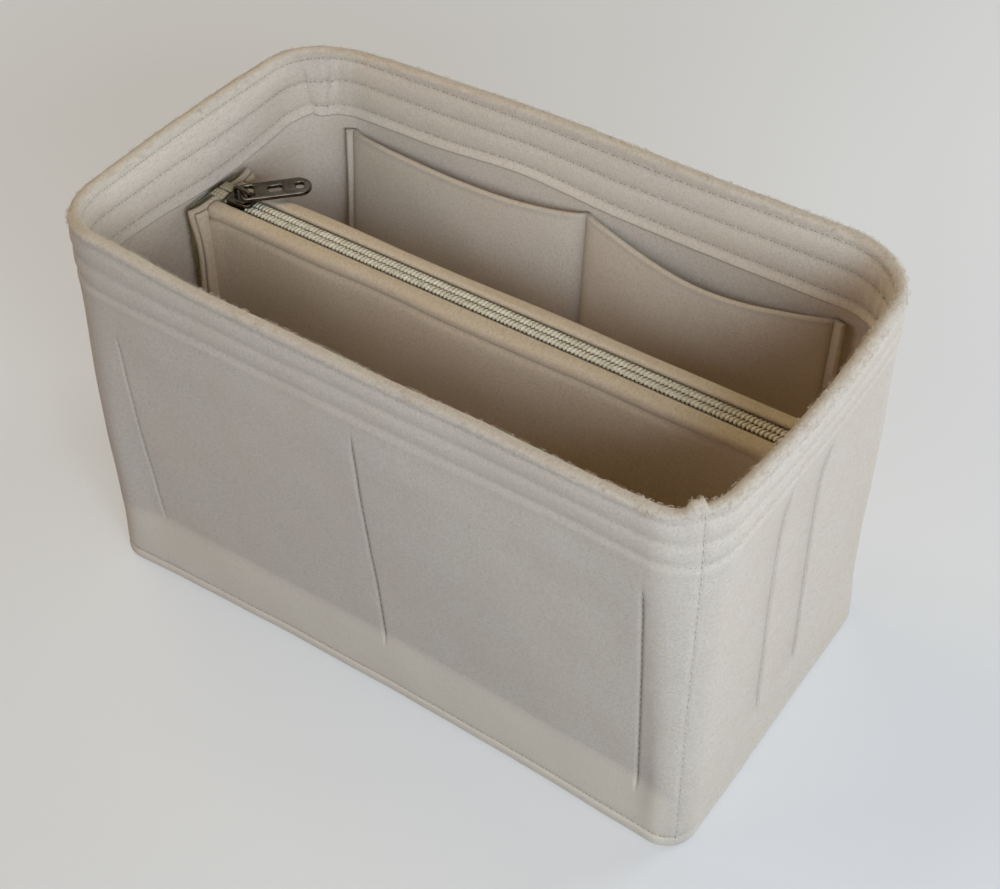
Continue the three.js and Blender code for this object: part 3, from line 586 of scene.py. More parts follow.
def buildWall():
    felt, edge = wall["felt"], wall["hemEdge"]
    fine, offsets = wall["hemRows"], (0.0, 0.5, 1.0, 1.7)
    rows = [(felt, 1.4), (2.0, 0.4), (1.2, 0.05), (0.5, 0.3), (0.1, 0.9)]
    outside = stations(1.6, height - felt, wall["rowStep"], (*fine, 5, *wall["pocketZone"], edge), offsets)
    rows += [(0.0, z) for z in outside]
    for step in range(1, 9):
        turn = math.pi * step / 9
        rows.append((felt - felt * math.cos(turn), height - felt + felt * math.sin(turn)))
    rows += [(2 * felt, z) for z in stations(edge + 0.7, height - felt, 2.4, fine, offsets)[::-1]]
    rows += [(4.8, edge + 0.15), (4.2, edge - 0.1), (3.4, edge - 0.1), (2.7, edge)]
    rows += [(felt, z) for z in stations(3.0, edge - 0.6, 4.5)[::-1]]
    index, share = wallColumns()
    inset = np.repeat(np.array([row[0] for row in rows])[:, None], len(index), 1)
    z = np.repeat(np.array([row[1] for row in rows])[:, None], len(index), 1)
    along = wallPlace(index, share, z[:, 0])
    places, outs, shade = wallSkin(along, z, inset)
    piece = makePiece("outer_wall_felt", places, gridFaces(len(rows), len(index), True, True), wallFelt)
    tint(piece, shade)
    # below the pockets the long walls are a single layer, drawn yellower than the doubled part, and paler as
    # painted light where the band tilts up to the lamps
    single = (1 - smoothStep(27, 34, z)) * smoothStep(0.75, 1.0, np.abs(outs[..., 1])) * (inset < 1.5)
    tint(piece, wall["bandLightAndTone"] * single, "bandLightAndTone")
    print("outer wall:", len(rows), "x", len(index))
    # stitch rows on the hem, the foot, the seams
    for row in wall["hemRows"]:
        for depth in (0.0, 2 * felt):
            high = np.full(len(index), row)
            line = wallPlace(index, share, row)
            spots, outs = wallSkin(line, high, np.full(len(index), depth))[:2]
            sew("shell", spots - 0.2 * outs * (depth == 0), outs if depth == 0 else -outs, None, depth > 0)
    line = wallPlace(index, share, 5.0)
    x = wallBase(line, np.full(len(index), 5.0), np.zeros(len(index)))[0]
    spots, outs = wallSkin(line, footRow(x), np.zeros(len(index)))[:2]
    sew("shell", spots - 0.45 * outs * outs[:, :1] ** 2, outs)
    upright = np.linspace(0, 1, 60)
    for lineIndex, low, high in [(k, 33, 129) for k in (3, 4, 5, 8, 9, 10)] + [(0, 4, 163)]:
        z = low + (high - low) * upright
        spots, outs = wallSkin(wallLines(z)[:, lineIndex], z, np.zeros(60))[:2]
        sew("shell", spots, outs, 3.4, False)
    return piece


outerWall = settle(buildWall(), "shell", "wall_felt", "outer_wall")


# Base: felt floor with a turned-up edge
base = {"gap": 0.4, "felt": 2.4, "edgeHeight": 9.0, "sag": 0.25, "bend": 1.2, "under": 0.2,
        "columns": 240, "edgeAt": 6.0}


def buildBase():
    columns, edgeAt = base["columns"], base["edgeAt"]
    felt, top, bend, under = base["felt"], base["edgeHeight"], base["bend"], base["under"]
    rows = []

    def ring(depth, z, scale=1.0):
        along = np.linspace(0, float(ringLength(edgeAt)), columns, endpoint=False)
        along = along + float(wallLines(edgeAt)[0])
        places, outs = wallSkin(along, np.full(columns, edgeAt), np.full(columns, wall["felt"]))[:2]
        places = (places - outs * (base["gap"] + depth)) * scale
        places[:, 2] = z
        rows.append(places)

    inner = (0.98, 0.94, 0.86, 0.74, 0.6, 0.45, 0.3, 0.15)
    for scale in reversed(inner):
        ring(bend, under, scale)
    for turn in np.radians((0, 22, 45, 68, 90)):
        ring(bend * (1 - math.sin(turn)), under + bend * (1 - math.cos(turn)))
    for z in (3.2, 5.0, 7.0, top - bend):
        ring(0, z)
    for turn in np.radians((30, 60, 90, 120, 150)):
        ring(felt / 2 * (1 - math.cos(turn)), top - bend + bend * math.sin(turn))
    for z in (top - bend, 7.0, 5.0, felt + bend):
        ring(felt, z)
    for turn in np.radians((22, 45, 68, 90)):
        ring(felt + bend * (1 - math.cos(turn)), felt + bend * (1 - math.sin(turn)))
    for scale in inner:
        ring(felt + bend, felt, scale)
        rows[-1][:, 2] += base["sag"] * unevenness(rows[-1][:, 0], rows[-1][:, 1], 60, 21)
    faces = gridFaces(len(rows), columns, False, True)
    last = len(rows) * columns
    for column in range(columns):
        nextColumn = (column + 1) % columns
        faces.append((column, last, nextColumn))
        faces.append((last - columns + column, last - columns + nextColumn, last + 1))
    points = np.concatenate(rows + [[[0, 0, under], [0, 0, felt]]])
    return makePiece("base_panel_felt", points, faces, pocketFeltPaintedLight)


settle(buildBase(), "shell", "inner_felt", "base_panel")


# Pocket panels inside the long walls: sewn at both sides, the middle and the foot, mouths open
pocket = {"felt": 2.5, "gap": 0.35, "margin": 4.5, "bulge": (6.2, 7.6), "dip": (2.4, 4.0),
          "crown": (128.5, 132.5, 129.0), "flare": 0.7, "mouthShade": 0.3, "pitch": 3.6, "footPitch": 3.8,
          "cut": {-1: (226.0, 98.0), 1: (224.0, 98.0)}}


def buildPocket(node, side):
    low, high = nodeBox(node)
    seams = wall["frontSeams"] if side < 0 else wall["backSeams"]
    felt, sewn, shift = pocket["felt"], abs(seams[0] - seams[2]) / 2, (seams[0] + seams[2]) / 2
    half = sewn + pocket["margin"]
    bottom, foot = low[2], low[2] + pocket["margin"]
    across = edgeStations(-half, half, 2.0, felt / 2, (-sewn, 0, sewn))
    rise = edgeStations(0, high[2] - bottom, 2.2, felt / 2, (pocket["margin"],))
    u, v = np.meshgrid(across, rise, indexing="ij")
    left, middle, right = pocket["crown"]
    crown = middle + (np.where(u < 0, left, right) - middle) * (np.abs(u) / half) ** 1.5
    mouth = np.abs(np.sin(math.pi * np.clip(u / sewn, -1, 1))) ** np.where(u < 0, 0.5, 0.7)
    mouth = mouth * (1 + 0.12 * np.sin(math.pi * u / sewn * 0.5 + 0.6))
    top = crown - np.where(u < 0, *pocket["dip"]) * mouth ** 2
    z = bottom + v / rise[-1] * (top - bottom)
    climb = np.clip((z - foot) / (high[2] - foot), 0, 1.05)
    opening = np.where(u < 0, *pocket["bulge"]) * mouth * np.sin(math.pi / 2 * np.clip(climb, 0, 1)) ** 1.1
    opening = opening + 0.7 * unevenness(u, z, 45, 31 if side > 0 else 33) * mouth * climb
    for line in (-sewn, 0, sewn):
        opening = opening - 0.4 * np.exp(-np.abs(u - line) / 0.8) * (climb > 0)
    opening = opening - 0.5 * ridge(u, 1.8) * (climb > 0)  # the divider lies deeper
    free = smoothStep(sewn + 0.5, half, np.abs(u)) + smoothStep(-foot, -bottom, -z) * 0.6
    opening = opening + pocket["flare"] * free
    slant = seams[1] + ((wall["pocketZone"][1] - z) * wall["frontSlant"] if side < 0 else 0)
    x = u + shift + (slant - shift) * np.clip(1 - np.abs(u) / sewn, 0, 1)
    places, outs = wallSkin(longAlong(x, z, side), z, np.full_like(z, wall["felt"]))[:2]
    centre = places - outs * (pocket["gap"] + felt / 2 + np.maximum(opening, -0.3))[..., None]
    centre[..., 2] = z
    # painted shade along the seams and the foot row, and on the mouth's cut edge, which faces up to the lamps
    near = np.min([np.abs(u + sewn), 0.5 * np.abs(u), np.abs(u - sewn)], axis=0)
    shade = np.maximum(np.exp(-near / 0.7), 0.6 * ridge(z - foot, 0.6)) * (z >= foot - 1)
    shade = np.maximum(shade, pocket["mouthShade"] * (v > rise[-1] - 1.6))  # the cut edge of the mouth
    if side > 0:
        centre, shade, across = centre[::-1], shade[::-1], across[::-1]
    piece = feltSheet(node + "_felt", centre, felt, (across, rise), pocketFeltPaintedLight, shade)
    face = np.array([0, -side, 0.0])
    for line in (-sewn, 0, sewn):
        column = int(np.argmin(np.abs(across - line)))
        spots = centre[column, 4:-4] + face * (felt / 2 - 0.05)
        sew("shell", spots, face, pocket["pitch"])
    row = int(np.argmin(np.abs(rise - pocket["margin"])))
    spots = centre[5:-5, row] + face * (felt / 2 - 0.05)
    sew("shell", spots, face, pocket["footPitch"])
    return piece


for node, side in (("front_pocket_panel", -1), ("back_pocket_panel", 1)):
    panel = settle(buildPocket(node, side), "shell", "inner_felt", node)
print("base and pockets made")


# Zipped pouch: two felt panels turned in at the top as bands, felt end panels with flanges
pouch = {"felt": 2.5, "centreY": 6.5, "bandEdge": 4.7, "halfWidth": 11.0, "roll": 3.0, "swell": 2.0,
         "grooveBelow": 5.4, "grooveDepth": 1.3, "flange": 5.2, "flangeFelt": 2.3, "pitch": 3.8,
         "leanWidth": 6.0}
pouchLow, pouchHigh = nodeBox("pouch_front_panel")
pouchBottom, pouchTop, pouchEnd = pouchLow[2], pouchHigh[2], pouchHigh[0]


def buildPouchPanel(node, side):
    felt, roll = pouch["felt"], pouch["roll"]
    middle = roll - felt / 2
    flat = pouch["halfWidth"] - roll
    band = flat - pouch["bandEdge"]
    turn = middle * math.pi / 2
    drop = pouchTop - pouchBottom - 2 * roll
    run = band + 2 * turn + drop + flat - 0.2
    grooveAt = band + turn + pouch["grooveBelow"] - roll
    places = edgeStations(0, run, 2.2, felt / 2, (band + turn / 2, grooveAt, band + turn * 1.5 + drop))
    length = edgeStations(-pouchEnd, pouchEnd, 2.2, felt / 2)
    u, v = np.meshgrid(length, places, indexing="ij")
    first = np.clip((v - band) / turn, 0, 1) * math.pi / 2
    second = np.clip((v - band - turn - drop) / turn, 0, 1) * math.pi / 2
    across = pouch["bandEdge"] + np.minimum(v, band) + middle * (np.sin(first) - (1 - np.cos(second)))
    across = across - np.maximum(v - band - 2 * turn - drop, 0)
    z = pouchTop - felt / 2 - middle * (1 - np.cos(first)) - np.clip(v - band - turn, 0, drop)
    z = z - middle * np.sin(second)
    onFace = inZone((band + turn, band + turn + drop), (-turn * 0.5, 3, -6, 0), v)
    down = np.clip((pouchTop - z) / (pouchTop - pouchBottom), 0, 1)
    swell = pouch["swell"] * np.cos(math.pi * u / (2 * pouchEnd)) * np.sin(math.pi * down)
    swell = swell + 0.6 * unevenness(u, z, 55, 41 if side < 0 else 43)
    groove = ridge(v - grooveAt, 1.3)
    across = across + onFace * swell - pouch["grooveDepth"] * groove
    across = across + 0.9 * onFace * (1 - smoothStep(4.5, 7.0, pouchEnd - np.abs(u)))
    # the bands wander a little, the zip between them stays straight
    onBand = 1 - smoothStep(band - 1, band + turn, v)
    z = z + 0.35 * unevenness(u, 0 * u, 60, 45 if side < 0 else 46) * onBand * smoothStep(0.5, 4, v)
    sway = 0.5 * unevenness(u, 0 * u, 75, 47 if side < 0 else 48) * (z > 100)
    across = across + sway * smoothStep(band - 2, band + turn, v)
    y = pouch["centreY"] + side * across
    centre = np.stack([u, y, z], -1)
    # painted shadow in the groove under the band's overhang
    shade = 0.55 * ridge(v - grooveAt, 0.8)
    if side < 0:
        centre, shade, length = centre[::-1], shade[::-1], length[::-1]
    piece = feltSheet(node + "_felt", centre, felt, (length, places), pouchFeltPaintedShade, shade)
    row = int(np.argmin(np.abs(places - grooveAt)))
    spots = centre[5:-5, row] + np.array([0, side, 0.1]) * (felt / 2 - 0.05)
    sew("pouch", spots, (0, side, 0.15), pouch["pitch"])
    return piece


for node, side in (("pouch_front_panel", -1), ("pouch_back_panel", 1)):
    settle(buildPouchPanel(node, side), "pouch", "inner_felt", node)


def flangeLean(z):
    # flanges lean to the wall at the top and low down, and stand off it between
    lean = 1.7 * smoothStep(119, 130, z) + 1.5 * (1 - smoothStep(62, 104, z)) - 1.5 * ridge(z - 112, 11)
    return lean + 0.25 * unevenness(z, 0 * z, 40, 51)


def buildPouchEnd(node, side):
    felt = pouch["felt"]
    places, (y, z), middle = boxGrid(node, (1, 2), (2.2, 2.2), felt)
    reach = np.clip((np.abs(y - pouch["centreY"]) - pouch["halfWidth"]) / pouch["leanWidth"], 0, 1) ** 1.5
    x = middle[0] + side * reach * flangeLean(z)
    return feltSheet(node + "_felt", np.stack([x, y, z], -1), felt, places, pouchFeltPaintedShade)


def buildFlange(name, side, face):
    # seam allowance of a long panel, turned out against the end panel
    felt, start = pouch["flangeFelt"], pouch["halfWidth"] + 0.1
    across = edgeStations(start, start + pouch["flange"], 1.2, felt / 2)
    rise = edgeStations(pouchBottom + 1.5, pouchTop - 0.8, 2.2, felt / 2)
    u, z = np.meshgrid(across, rise, indexing="ij")
    reach = np.clip((u - start) / pouch["leanWidth"], 0, 1) ** 1.5
    x = side * (pouchEnd - 1.05) + side * reach * flangeLean(z)
    centre = np.stack([x, pouch["centreY"] + face * u, z], -1)
    return feltSheet(name, centre, felt, (across, rise), pouchFeltPaintedShade)


for node, side in (("pouch_end_left", -1), ("pouch_end_right", 1)):
    settle(buildPouchEnd(node, side), "pouch", "inner_felt", node)
    for face, word in ((-1, "front"), (1, "back")):
        settle(buildFlange(node + "_flange_" + word, side, face), "pouch", "inner_felt")


def buildStrip(node, thickness):
    places, (y, z), middle = boxGrid(node, (1, 2), (2.0, 2.0), thickness)
    x = middle[0] + 0.08 * unevenness(y, z, 9, 61)
    return feltSheet(node + "_backing", np.stack([x, y, z], -1), thickness, places, pileLook)


for node, thickness, body in (("loop_strip_left", 2.2, "shell"), ("loop_strip_right", 2.2, "shell"),
                              ("hook_strip_left", 1.1, "pouch"), ("hook_strip_right", 1.1, "pouch")):
    settle(buildStrip(node, thickness), body, "strip_pile", node)
print("pouch and strips made")


# Zip: woven tapes, nylon coils wound by Geometry Nodes
zipper = {"pitch": 1.6, "filament": 1.0, "coilInner": 0.1, "coilOuter": 3.4, "filler": 0.95,
          "endGap": 1.6, "startGap": 0.4, "endTape": 1.2, "endFrom": -123.2, "endTo": -117.3,
          "endAcross": (0.6, 4.4)}


def buildTape(node):
    low, high = nodeBox(node)
    thickness = high[2] - low[2]
    places, (x, y), middle = boxGrid(node, (0, 1), (2.0, 0.9), thickness)
    z = middle[2] + 0.05 * unevenness(x, y, 12, 71)
    return feltSheet(node + "_weave", np.stack([x, y, z], -1), thickness, places, tapeLook)


def buildTapeEnd(name, side):
    # cut end of a tape, turned out over the end panel beside the shut slider
    thickness, start, end = zipper["endTape"], zipper["endFrom"], zipper["endTo"]
    length = edgeStations(start, end, 0.8, thickness / 2)
    across = edgeStations(*zipper["endAcross"], 0.7, thickness / 2)
    x, v = np.meshgrid(length, across, indexing="ij")
    arch = 0.35 * np.sin(math.pi * (x - start) / (end - start))
    z = pouchTop + 0.8 + arch + 0.3 * unevenness(x, v, 6, 73 + side)
    centre = np.stack([x, pouch["centreY"] + side * v, z], -1)
    return feltSheet(name, centre, thickness, (length, across), tapeLook)


for node, side in (("zip_tape_front", -1), ("zip_tape_back", 1)):
    settle(buildTape(node), "pouch", "zip_tape", node)
    settle(buildTapeEnd(node + "_end", side), "pouch", "zip_tape")


socketKinds = {"Geometry": "NodeSocketGeometry", "Start": "NodeSocketVector",
               "Material": "NodeSocketMaterial"}


def nodeTree(name, *labels):
    # every tree takes a point mesh, its named sizes and a material
    tree = bpy.data.node_groups.new(name, "GeometryNodeTree")
    for label in ("Geometry", *labels, "Material"):
        kind = socketKinds.get(label, "NodeSocketFloat")
        tree.interface.new_socket(label, in_out="INPUT", socket_type=kind)
    tree.interface.new_socket("Geometry", in_out="OUTPUT", socket_type="NodeSocketGeometry")
    return tree, tree.nodes.new("NodeGroupInput").outputs


def dress(tree, given, shape):
    # every tree ends smooth, made real and in its material
    smooth = addNode(tree, "GeometryNodeSetShadeSmooth", {"Geometry": shape})
    real = addNode(tree, "GeometryNodeRealizeInstances", {"Geometry": smooth})
    dressed = addNode(tree, "GeometryNodeSetMaterial", {"Geometry": real, "Material": given["Material"]})
    addNode(tree, "NodeGroupOutput", {"Geometry": dressed})
    return tree


def grow(name, tree, values, mesh=None):
    # runs a tree on a point mesh and keeps the result as a plain mesh
    holder = putIn(name + "Source", mesh or bpy.data.meshes.new(name + "Source"))
    modifier = holder.modifiers.new("grow", "NODES")
    modifier.node_group = tree
    for item in tree.interface.items_tree:
        if item.in_out == "INPUT" and item.name in values:
            modifier[item.identifier] = values[item.name]
    return putIn(name, asMesh(holder, name))


def coilTree():
    tree, given = nodeTree("zipCoil", "Turns", "Length", "Half Width", "Half Height", "Filament", "Start")
    size = addNode(tree, "ShaderNodeCombineXYZ", {
        "X": given["Half Height"], "Y": given["Half Width"], "Z": 1.0})
    helix = addNode(tree, "GeometryNodeCurveSpiral", {
        "Resolution": 14, "Rotations": given["Turns"], "Start Radius": 1.0, "End Radius": 1.0,
        "Height": given["Length"]})
    lying = {"Translation": given["Start"], "Rotation": (0.0, math.pi / 2, 0.0), "Scale": size}
    oval = addNode(tree, "GeometryNodeTransform", {"Geometry": helix, **lying})
    ring = addNode(tree, "GeometryNodeCurvePrimitiveCircle", {"Resolution": 7, "Radius": given["Filament"]})
    wound = addNode(tree, "GeometryNodeCurveToMesh", {
        "Curve": oval, "Profile Curve": ring, "Fill Caps": True})
    # a filler cord runs inside the turns
    far = addNode(tree, "ShaderNodeCombineXYZ", {"Z": given["Length"]})
    line = addNode(tree, "GeometryNodeCurvePrimitiveLine", {"End": far})
    bead = addNode(tree, "GeometryNodeCurvePrimitiveCircle", {"Resolution": 10, "Radius": zipper["filler"]})
    core = addNode(tree, "GeometryNodeCurveToMesh", {"Curve": line, "Profile Curve": bead, "Fill Caps": True})
    core = addNode(tree, "GeometryNodeTransform", {"Geometry": core, **lying})
    joined = addNode(tree, "GeometryNodeJoinGeometry")
    for part in (wound, core):
        tree.links.new(part.outputs[0], joined.inputs["Geometry"])
    return dress(tree, given, joined)


coilNodes = coilTree()
for node, side in (("zip_coil_front", -1), ("zip_coil_back", 1)):
    low, high = nodeBox(node)
    run = high[0] - low[0] - zipper["endGap"]
    wide = (zipper["coilOuter"] - zipper["coilInner"] - zipper["filament"]) / 2
    tall = (high[2] - low[2] - zipper["filament"]) / 2
    middle = pouch["centreY"] + side * (zipper["coilOuter"] + zipper["coilInner"]) / 2
    start = low[0] + zipper["startGap"] + (zipper["pitch"] / 2 if side > 0 else 0)
    coil = grow(node + "_turns", coilNodes, {
        "Turns": run / zipper["pitch"], "Length": run * mm, "Half Width": wide * mm,
        "Half Height": tall * mm, "Filament": zipper["filament"] / 2 * mm,
        "Start": (start * mm, middle * mm, (low[2] + high[2]) / 2 * mm), "Material": coilLook})
    settle(coil, "pouch", "zip_coil", node)


def setOut(tree, given, shape):
    # puts the shape on every point, turned by the point's own heading and outward direction
    out, heading = (addNode(tree, "GeometryNodeInputNamedAttribute", {"Name": label},
                            data_type="FLOAT_VECTOR") for label in ("outward", "heading"))
    upright = addNode(tree, "FunctionNodeAlignRotationToVector", {"Vector": out}, axis="Z")
    turned = addNode(tree, "FunctionNodeAlignRotationToVector", {"Rotation": upright, "Vector": heading},
                     axis="X", pivot_axis="Z")
    put = addNode(tree, "GeometryNodeInstanceOnPoints", {
        "Points": given["Geometry"], "Instance": shape, "Rotation": turned})
    return dress(tree, given, put)


def stitchTree():
    tree, given = nodeTree("stitchRow", "Length", "Thread", "Rise", "Sink")
    half, away, deep = (addNode(tree, "ShaderNodeMath", {0: given[label], 1: share}, operation="MULTIPLY")
                        for label, share in (("Length", 0.5), ("Length", -0.5), ("Sink", -1.0)))
    start, top, end = (addNode(tree, "ShaderNodeCombineXYZ", corner) for corner in (
        {"X": away, "Z": deep}, {"Z": given["Rise"]}, {"X": half, "Z": deep}))
    arc = addNode(tree, "GeometryNodeCurveQuadraticBezier", {
        "Resolution": 5, "Start": start, "Middle": top, "End": end})
    ring = addNode(tree, "GeometryNodeCurvePrimitiveCircle", {"Resolution": 5, "Radius": given["Thread"]})
    thread = addNode(tree, "GeometryNodeCurveToMesh", {
        "Curve": arc, "Profile Curve": ring, "Fill Caps": True})
    return setOut(tree, given, thread)


def holeShadowTree():
    tree, given = nodeTree("needleHoleShadows", "Size")
    ball = addNode(tree, "GeometryNodeMeshUVSphere", {"Segments": 6, "Rings": 4, "Radius": given["Size"]})
    flat = addNode(tree, "GeometryNodeTransform", {"Geometry": ball, "Scale": (1.1, 0.8, 0.4)})
    return setOut(tree, given, flat)


def pointMesh(name, rows):
    mesh = bpy.data.meshes.new(name)
    mesh.from_pydata((rows[:, :3] * mm).tolist(), [], [])
    for label, part in (("heading", rows[:, 3:6]), ("outward", rows[:, 6:9])):
        values = mesh.attributes.new(label, "FLOAT_VECTOR", "POINT")
        values.data.foreach_set("vector", part.ravel())
    return mesh


threadNodes, holeShadowNodes = stitchTree(), holeShadowTree()


def growThreads(name, rows, sizes, material):
    values = {label.title(): sizes[label] * mm for label in ("length", "thread", "rise", "sink")}
    return grow(name, threadNodes, {**values, "Material": material}, pointMesh(name + "Points", rows))


for body, slot in (("shell", "wall_felt"), ("pouch", "inner_felt")):
    rows = np.concatenate([row for holes, row in stitches[body]])
    settle(growThreads(body + "_stitches", rows, sewing, threadLook), body, slot)
    # dark discs at both ends of each holed stitch, as painted shadow in the needle holes
    holed = np.concatenate([row for holes, row in stitches[body] if holes])
    reach = np.zeros_like(holed)
    reach[:, :3] = holed[:, 3:6] * sewing["length"] / 2
    ends = np.concatenate([holed + reach, holed - reach])
    holes = grow(body + "_needle_hole_shadows", holeShadowNodes, {"Size": sewing["hole"] * mm, "Material": holeShadowLook},
                 pointMesh(body + "HolePoints", ends))
    settle(holes, body, slot)
    print(body, "stitches:", len(rows))


# Pile: short loops on the strips' faces, longer frayed ones round their edges
pile = {"pitch": 2.3, "length": 1.5, "thread": 0.15, "rise": 0.66, "edgeRise": 2.2, "sink": 0.2, "seed": 83,
        "margin": 1.2, "edgePitch": 1.1}


def pilePoints(node, facing, source):
    low, high = nodeBox(node)
    spans = [np.arange(low[k] + pile["margin"], high[k] - 1, pile["pitch"]) for k in (1, 2)]
    y, z = (grid.ravel() for grid in np.meshgrid(*spans, indexing="ij"))
    y, z = (grid + source.uniform(-0.8, 0.8, len(y)) for grid in (y, z))
    turn = source.uniform(0, 2 * math.pi, len(y))
    face = (high if facing > 0 else low)[0] - 0.05 * facing
    blank = np.zeros(len(y))
    inner = np.stack([blank + face, y, z, blank, np.cos(turn), np.sin(turn), blank + facing, blank, blank], 1)
    rim = []
    for place in np.arange(low[2] + 1, high[2] - 1, pile["edgePitch"]):
        rim += [((low[1], place), (-1, 0)), ((high[1], place), (1, 0))]
    rim += [((place, high[2]), (0, 1)) for place in np.arange(low[1] + 1, high[1] - 1, pile["edgePitch"])]
    edges = []
    for (placeY, placeZ), (outY, outZ) in rim:
        tilt = source.uniform(-0.35, 0.35)
        heading = source.uniform(-0.8, 0.8)
        placeX = source.uniform(low[0] + 0.4, high[0] - 0.4)
        edges.append([placeX, placeY, placeZ, heading, -outZ, outY, tilt, outY, outZ])
    return inner, np.array(edges)


chance = np.random.default_rng(pile["seed"])
for node, facing, body in (("loop_strip_left", 1, "shell"), ("loop_strip_right", -1, "shell"),
                           ("hook_strip_left", -1, "pouch"), ("hook_strip_right", 1, "pouch")):
    inner, edges = pilePoints(node, facing, chance)
    for word, rows, rise in (("_pile", inner, pile["rise"]), ("_fray", edges, pile["edgeRise"])):
        settle(growThreads(node + word, rows, {**pile, "rise": rise}, pileLook), body, "strip_pile")

# Loose fibres standing out of the folded rim
fuzz = {"count": 2300, "length": 1.7, "thread": 0.045, "rise": 1.5, "sink": 0.15}
turn = chance.uniform(0.0, 0.95 * math.pi, fuzz["count"])
inset, high = wall["felt"] * (1 - np.cos(turn)), height - wall["felt"] * (1 - np.sin(turn))
spots, outs = wallSkin(chance.uniform(0, 1, fuzz["count"]) * ringLength(high), high, inset)[:2]
outs = outs * np.cos(turn)[:, None] + np.array([0, 0, 1.0]) * np.sin(turn)[:, None]
headings = np.cross(outs, chance.normal(size=outs.shape))
headings /= np.linalg.norm(headings, axis=1, keepdims=True)
fibres = growThreads("rim_fuzz", np.concatenate([spots, headings, outs], 1), fuzz, wallFelt)
settle(fibres, "shell", "wall_felt")
print("pile and fuzz made")


# Slider and pull tab, cast and plated
slider = {"length": 11.0, "width": 8.8, "plate": 1.3, "lip": 0.75, "corner": 2.2, "post": (3.0, 0.6),
          "crown": (7.96, 1.2, 1.2), "voxel": 0.13, "soften": 3}
sliderLow, sliderHigh = nodeBox("slider_body")
sliderMid = (sliderLow + sliderHigh) / 2


def arc(x, y, radius, start, sweep, steps):
    turns = [math.radians(start + sweep * step / steps) for step in range(steps + 1)]
    return [(x + radius * math.cos(turn), y + radius * math.sin(turn)) for turn in turns]


def roundedOutline(length, width, radius, steps=6, taper=0.0):
    points = []
    for signX, signY, start in ((1, 1, 0), (-1, 1, 90), (-1, -1, 180), (1, -1, 270)):
        points += arc(signX * (length / 2 - radius), signY * (width / 2 - radius), radius, start, 90, steps)
    return [(x, y * (1 - taper * (0.5 + x / length))) for x, y in points]


def slab(outline, low, high):
    count = len(outline)
    points = [(x, y, low) for x, y in outline] + [(x, y, high) for x, y in outline]
    faces = [tuple(reversed(range(count))), tuple(range(count, 2 * count))]
    faces += [(i, (i + 1) % count, count + (i + 1) % count, count + i) for i in range(count)]
    return points, faces


def joinSolids(solids):
    points, faces = [], []
    for spots, rings in solids:
        faces += [tuple(i + len(points) for i in ring) for ring in rings]
        points += list(spots)
    return points, faces


def plated(name, mesh):
    mesh.materials.clear()
    mesh.materials.append(metalLook)
    return putIn(name, mesh)


def cast(name, points, faces, voxel, soften):
    # closed solids fused by remeshing, edges softened as on a casting
    rough = makePiece(name + "Rough", points, faces, metalLook)
    fuse = rough.modifiers.new("fuse", "REMESH")
    fuse.mode, fuse.voxel_size, fuse.use_smooth_shade = "VOXEL", voxel * mm, True
    ease = rough.modifiers.new("ease", "SMOOTH")
    ease.factor, ease.iterations = 0.5, soften
    return plated(name, asMesh(rough, name))


def buildSlider():
    half, wide = slider["length"] / 2, slider["width"] / 2
    centreX, centreY = sliderMid[0], sliderMid[1]
    lowTop = sliderLow[2] + slider["plate"]
    roof = nodeBox("zip_coil_front")[1][2] + 0.35
    top = roof + slider["plate"]
    plan = roundedOutline(slider["length"], slider["width"], slider["corner"], 6, 0.12)
    solids = [slab(plan, sliderLow[2], lowTop), slab(plan, roof, top)]
    crownPlan = roundedOutline(slider["length"] - 2.4, slider["width"] - 2.6, 1.8, 6, 0.18)
    solids.append(slab(crownPlan, top - 0.2, top + 0.22))
    lipLow = sliderLow[2] + slider["plate"] + 0.9
    for sign in (-1, 1):
        lip = [(x, sign * (wide - depth)) for x, depth in (
            (1.4 - half, slider["lip"]), (half - 2.2, slider["lip"] + 0.75),
            (half - 2.0, 0.85), (1.2 - half, 0.05))]
        solids.append(slab(lip if sign > 0 else lip[::-1], lipLow + 1.5, roof + 0.4))
    postLength, postWidth = slider["post"]
    postAt = -half + 0.8 + postLength / 2
    post = [(x + postAt, y) for x, y in roundedOutline(postLength, postWidth, 0.45, 4)]
    solids.append(slab(post, sliderLow[2] + 0.4, top - 0.4))
    spots, faces = joinSolids(solids)
    # the crown is an arch seen from the side, swept through its width
    length, width, bar = slider["crown"]
    reach, rise = length / 2, sliderHigh[2] - top
    outer = [(reach, -0.5), (reach, rise - 1.5), (reach - 0.35, rise - 0.6), (reach - 1.3, rise)]
    inner = [(reach - 0.95, -0.5), (reach - 0.95, rise - 1.75), (reach - 1.15, rise - 1.35),
             (reach - 1.6, rise - bar)]
    # each list is the right half, from the foot up; the left half mirrors it
    outer, inner = ([(-half[0][0], half[0][1]), *half, *((-x, z) for x, z in half[:0:-1])]
                    for half in (outer, inner))
    start, count = len(spots), len(outer)
    for y in (-width / 2, width / 2):
        spots += [(x, y, top + z) for x, z in outer] + [(x, y, top + z) for x, z in inner]
    far = 2 * count
    for i in range(1, count):
        j = (i + 1) % count
        a, b, c, d = start + i, start + j, start + count + j, start + count + i
        faces += [(a, b, c, d), (d + far, c + far, b + far, a + far)]
        faces += [(a, a + far, b + far, b), (d, c, c + far, d + far)]
    for i, flip in ((1, False), (0, True)):
        a, d = start + i, start + count + i
        ring = (a, d, d + far, a + far)
        faces.append(ring[::-1] if flip else ring)
    spots = [(x + centreX, y + centreY, z) for x, y, z in spots]
    return cast("slider_body_cast", spots, faces, slider["voxel"], slider["soften"])


settle(buildSlider(), "slider", "black_nickel", "slider_body")

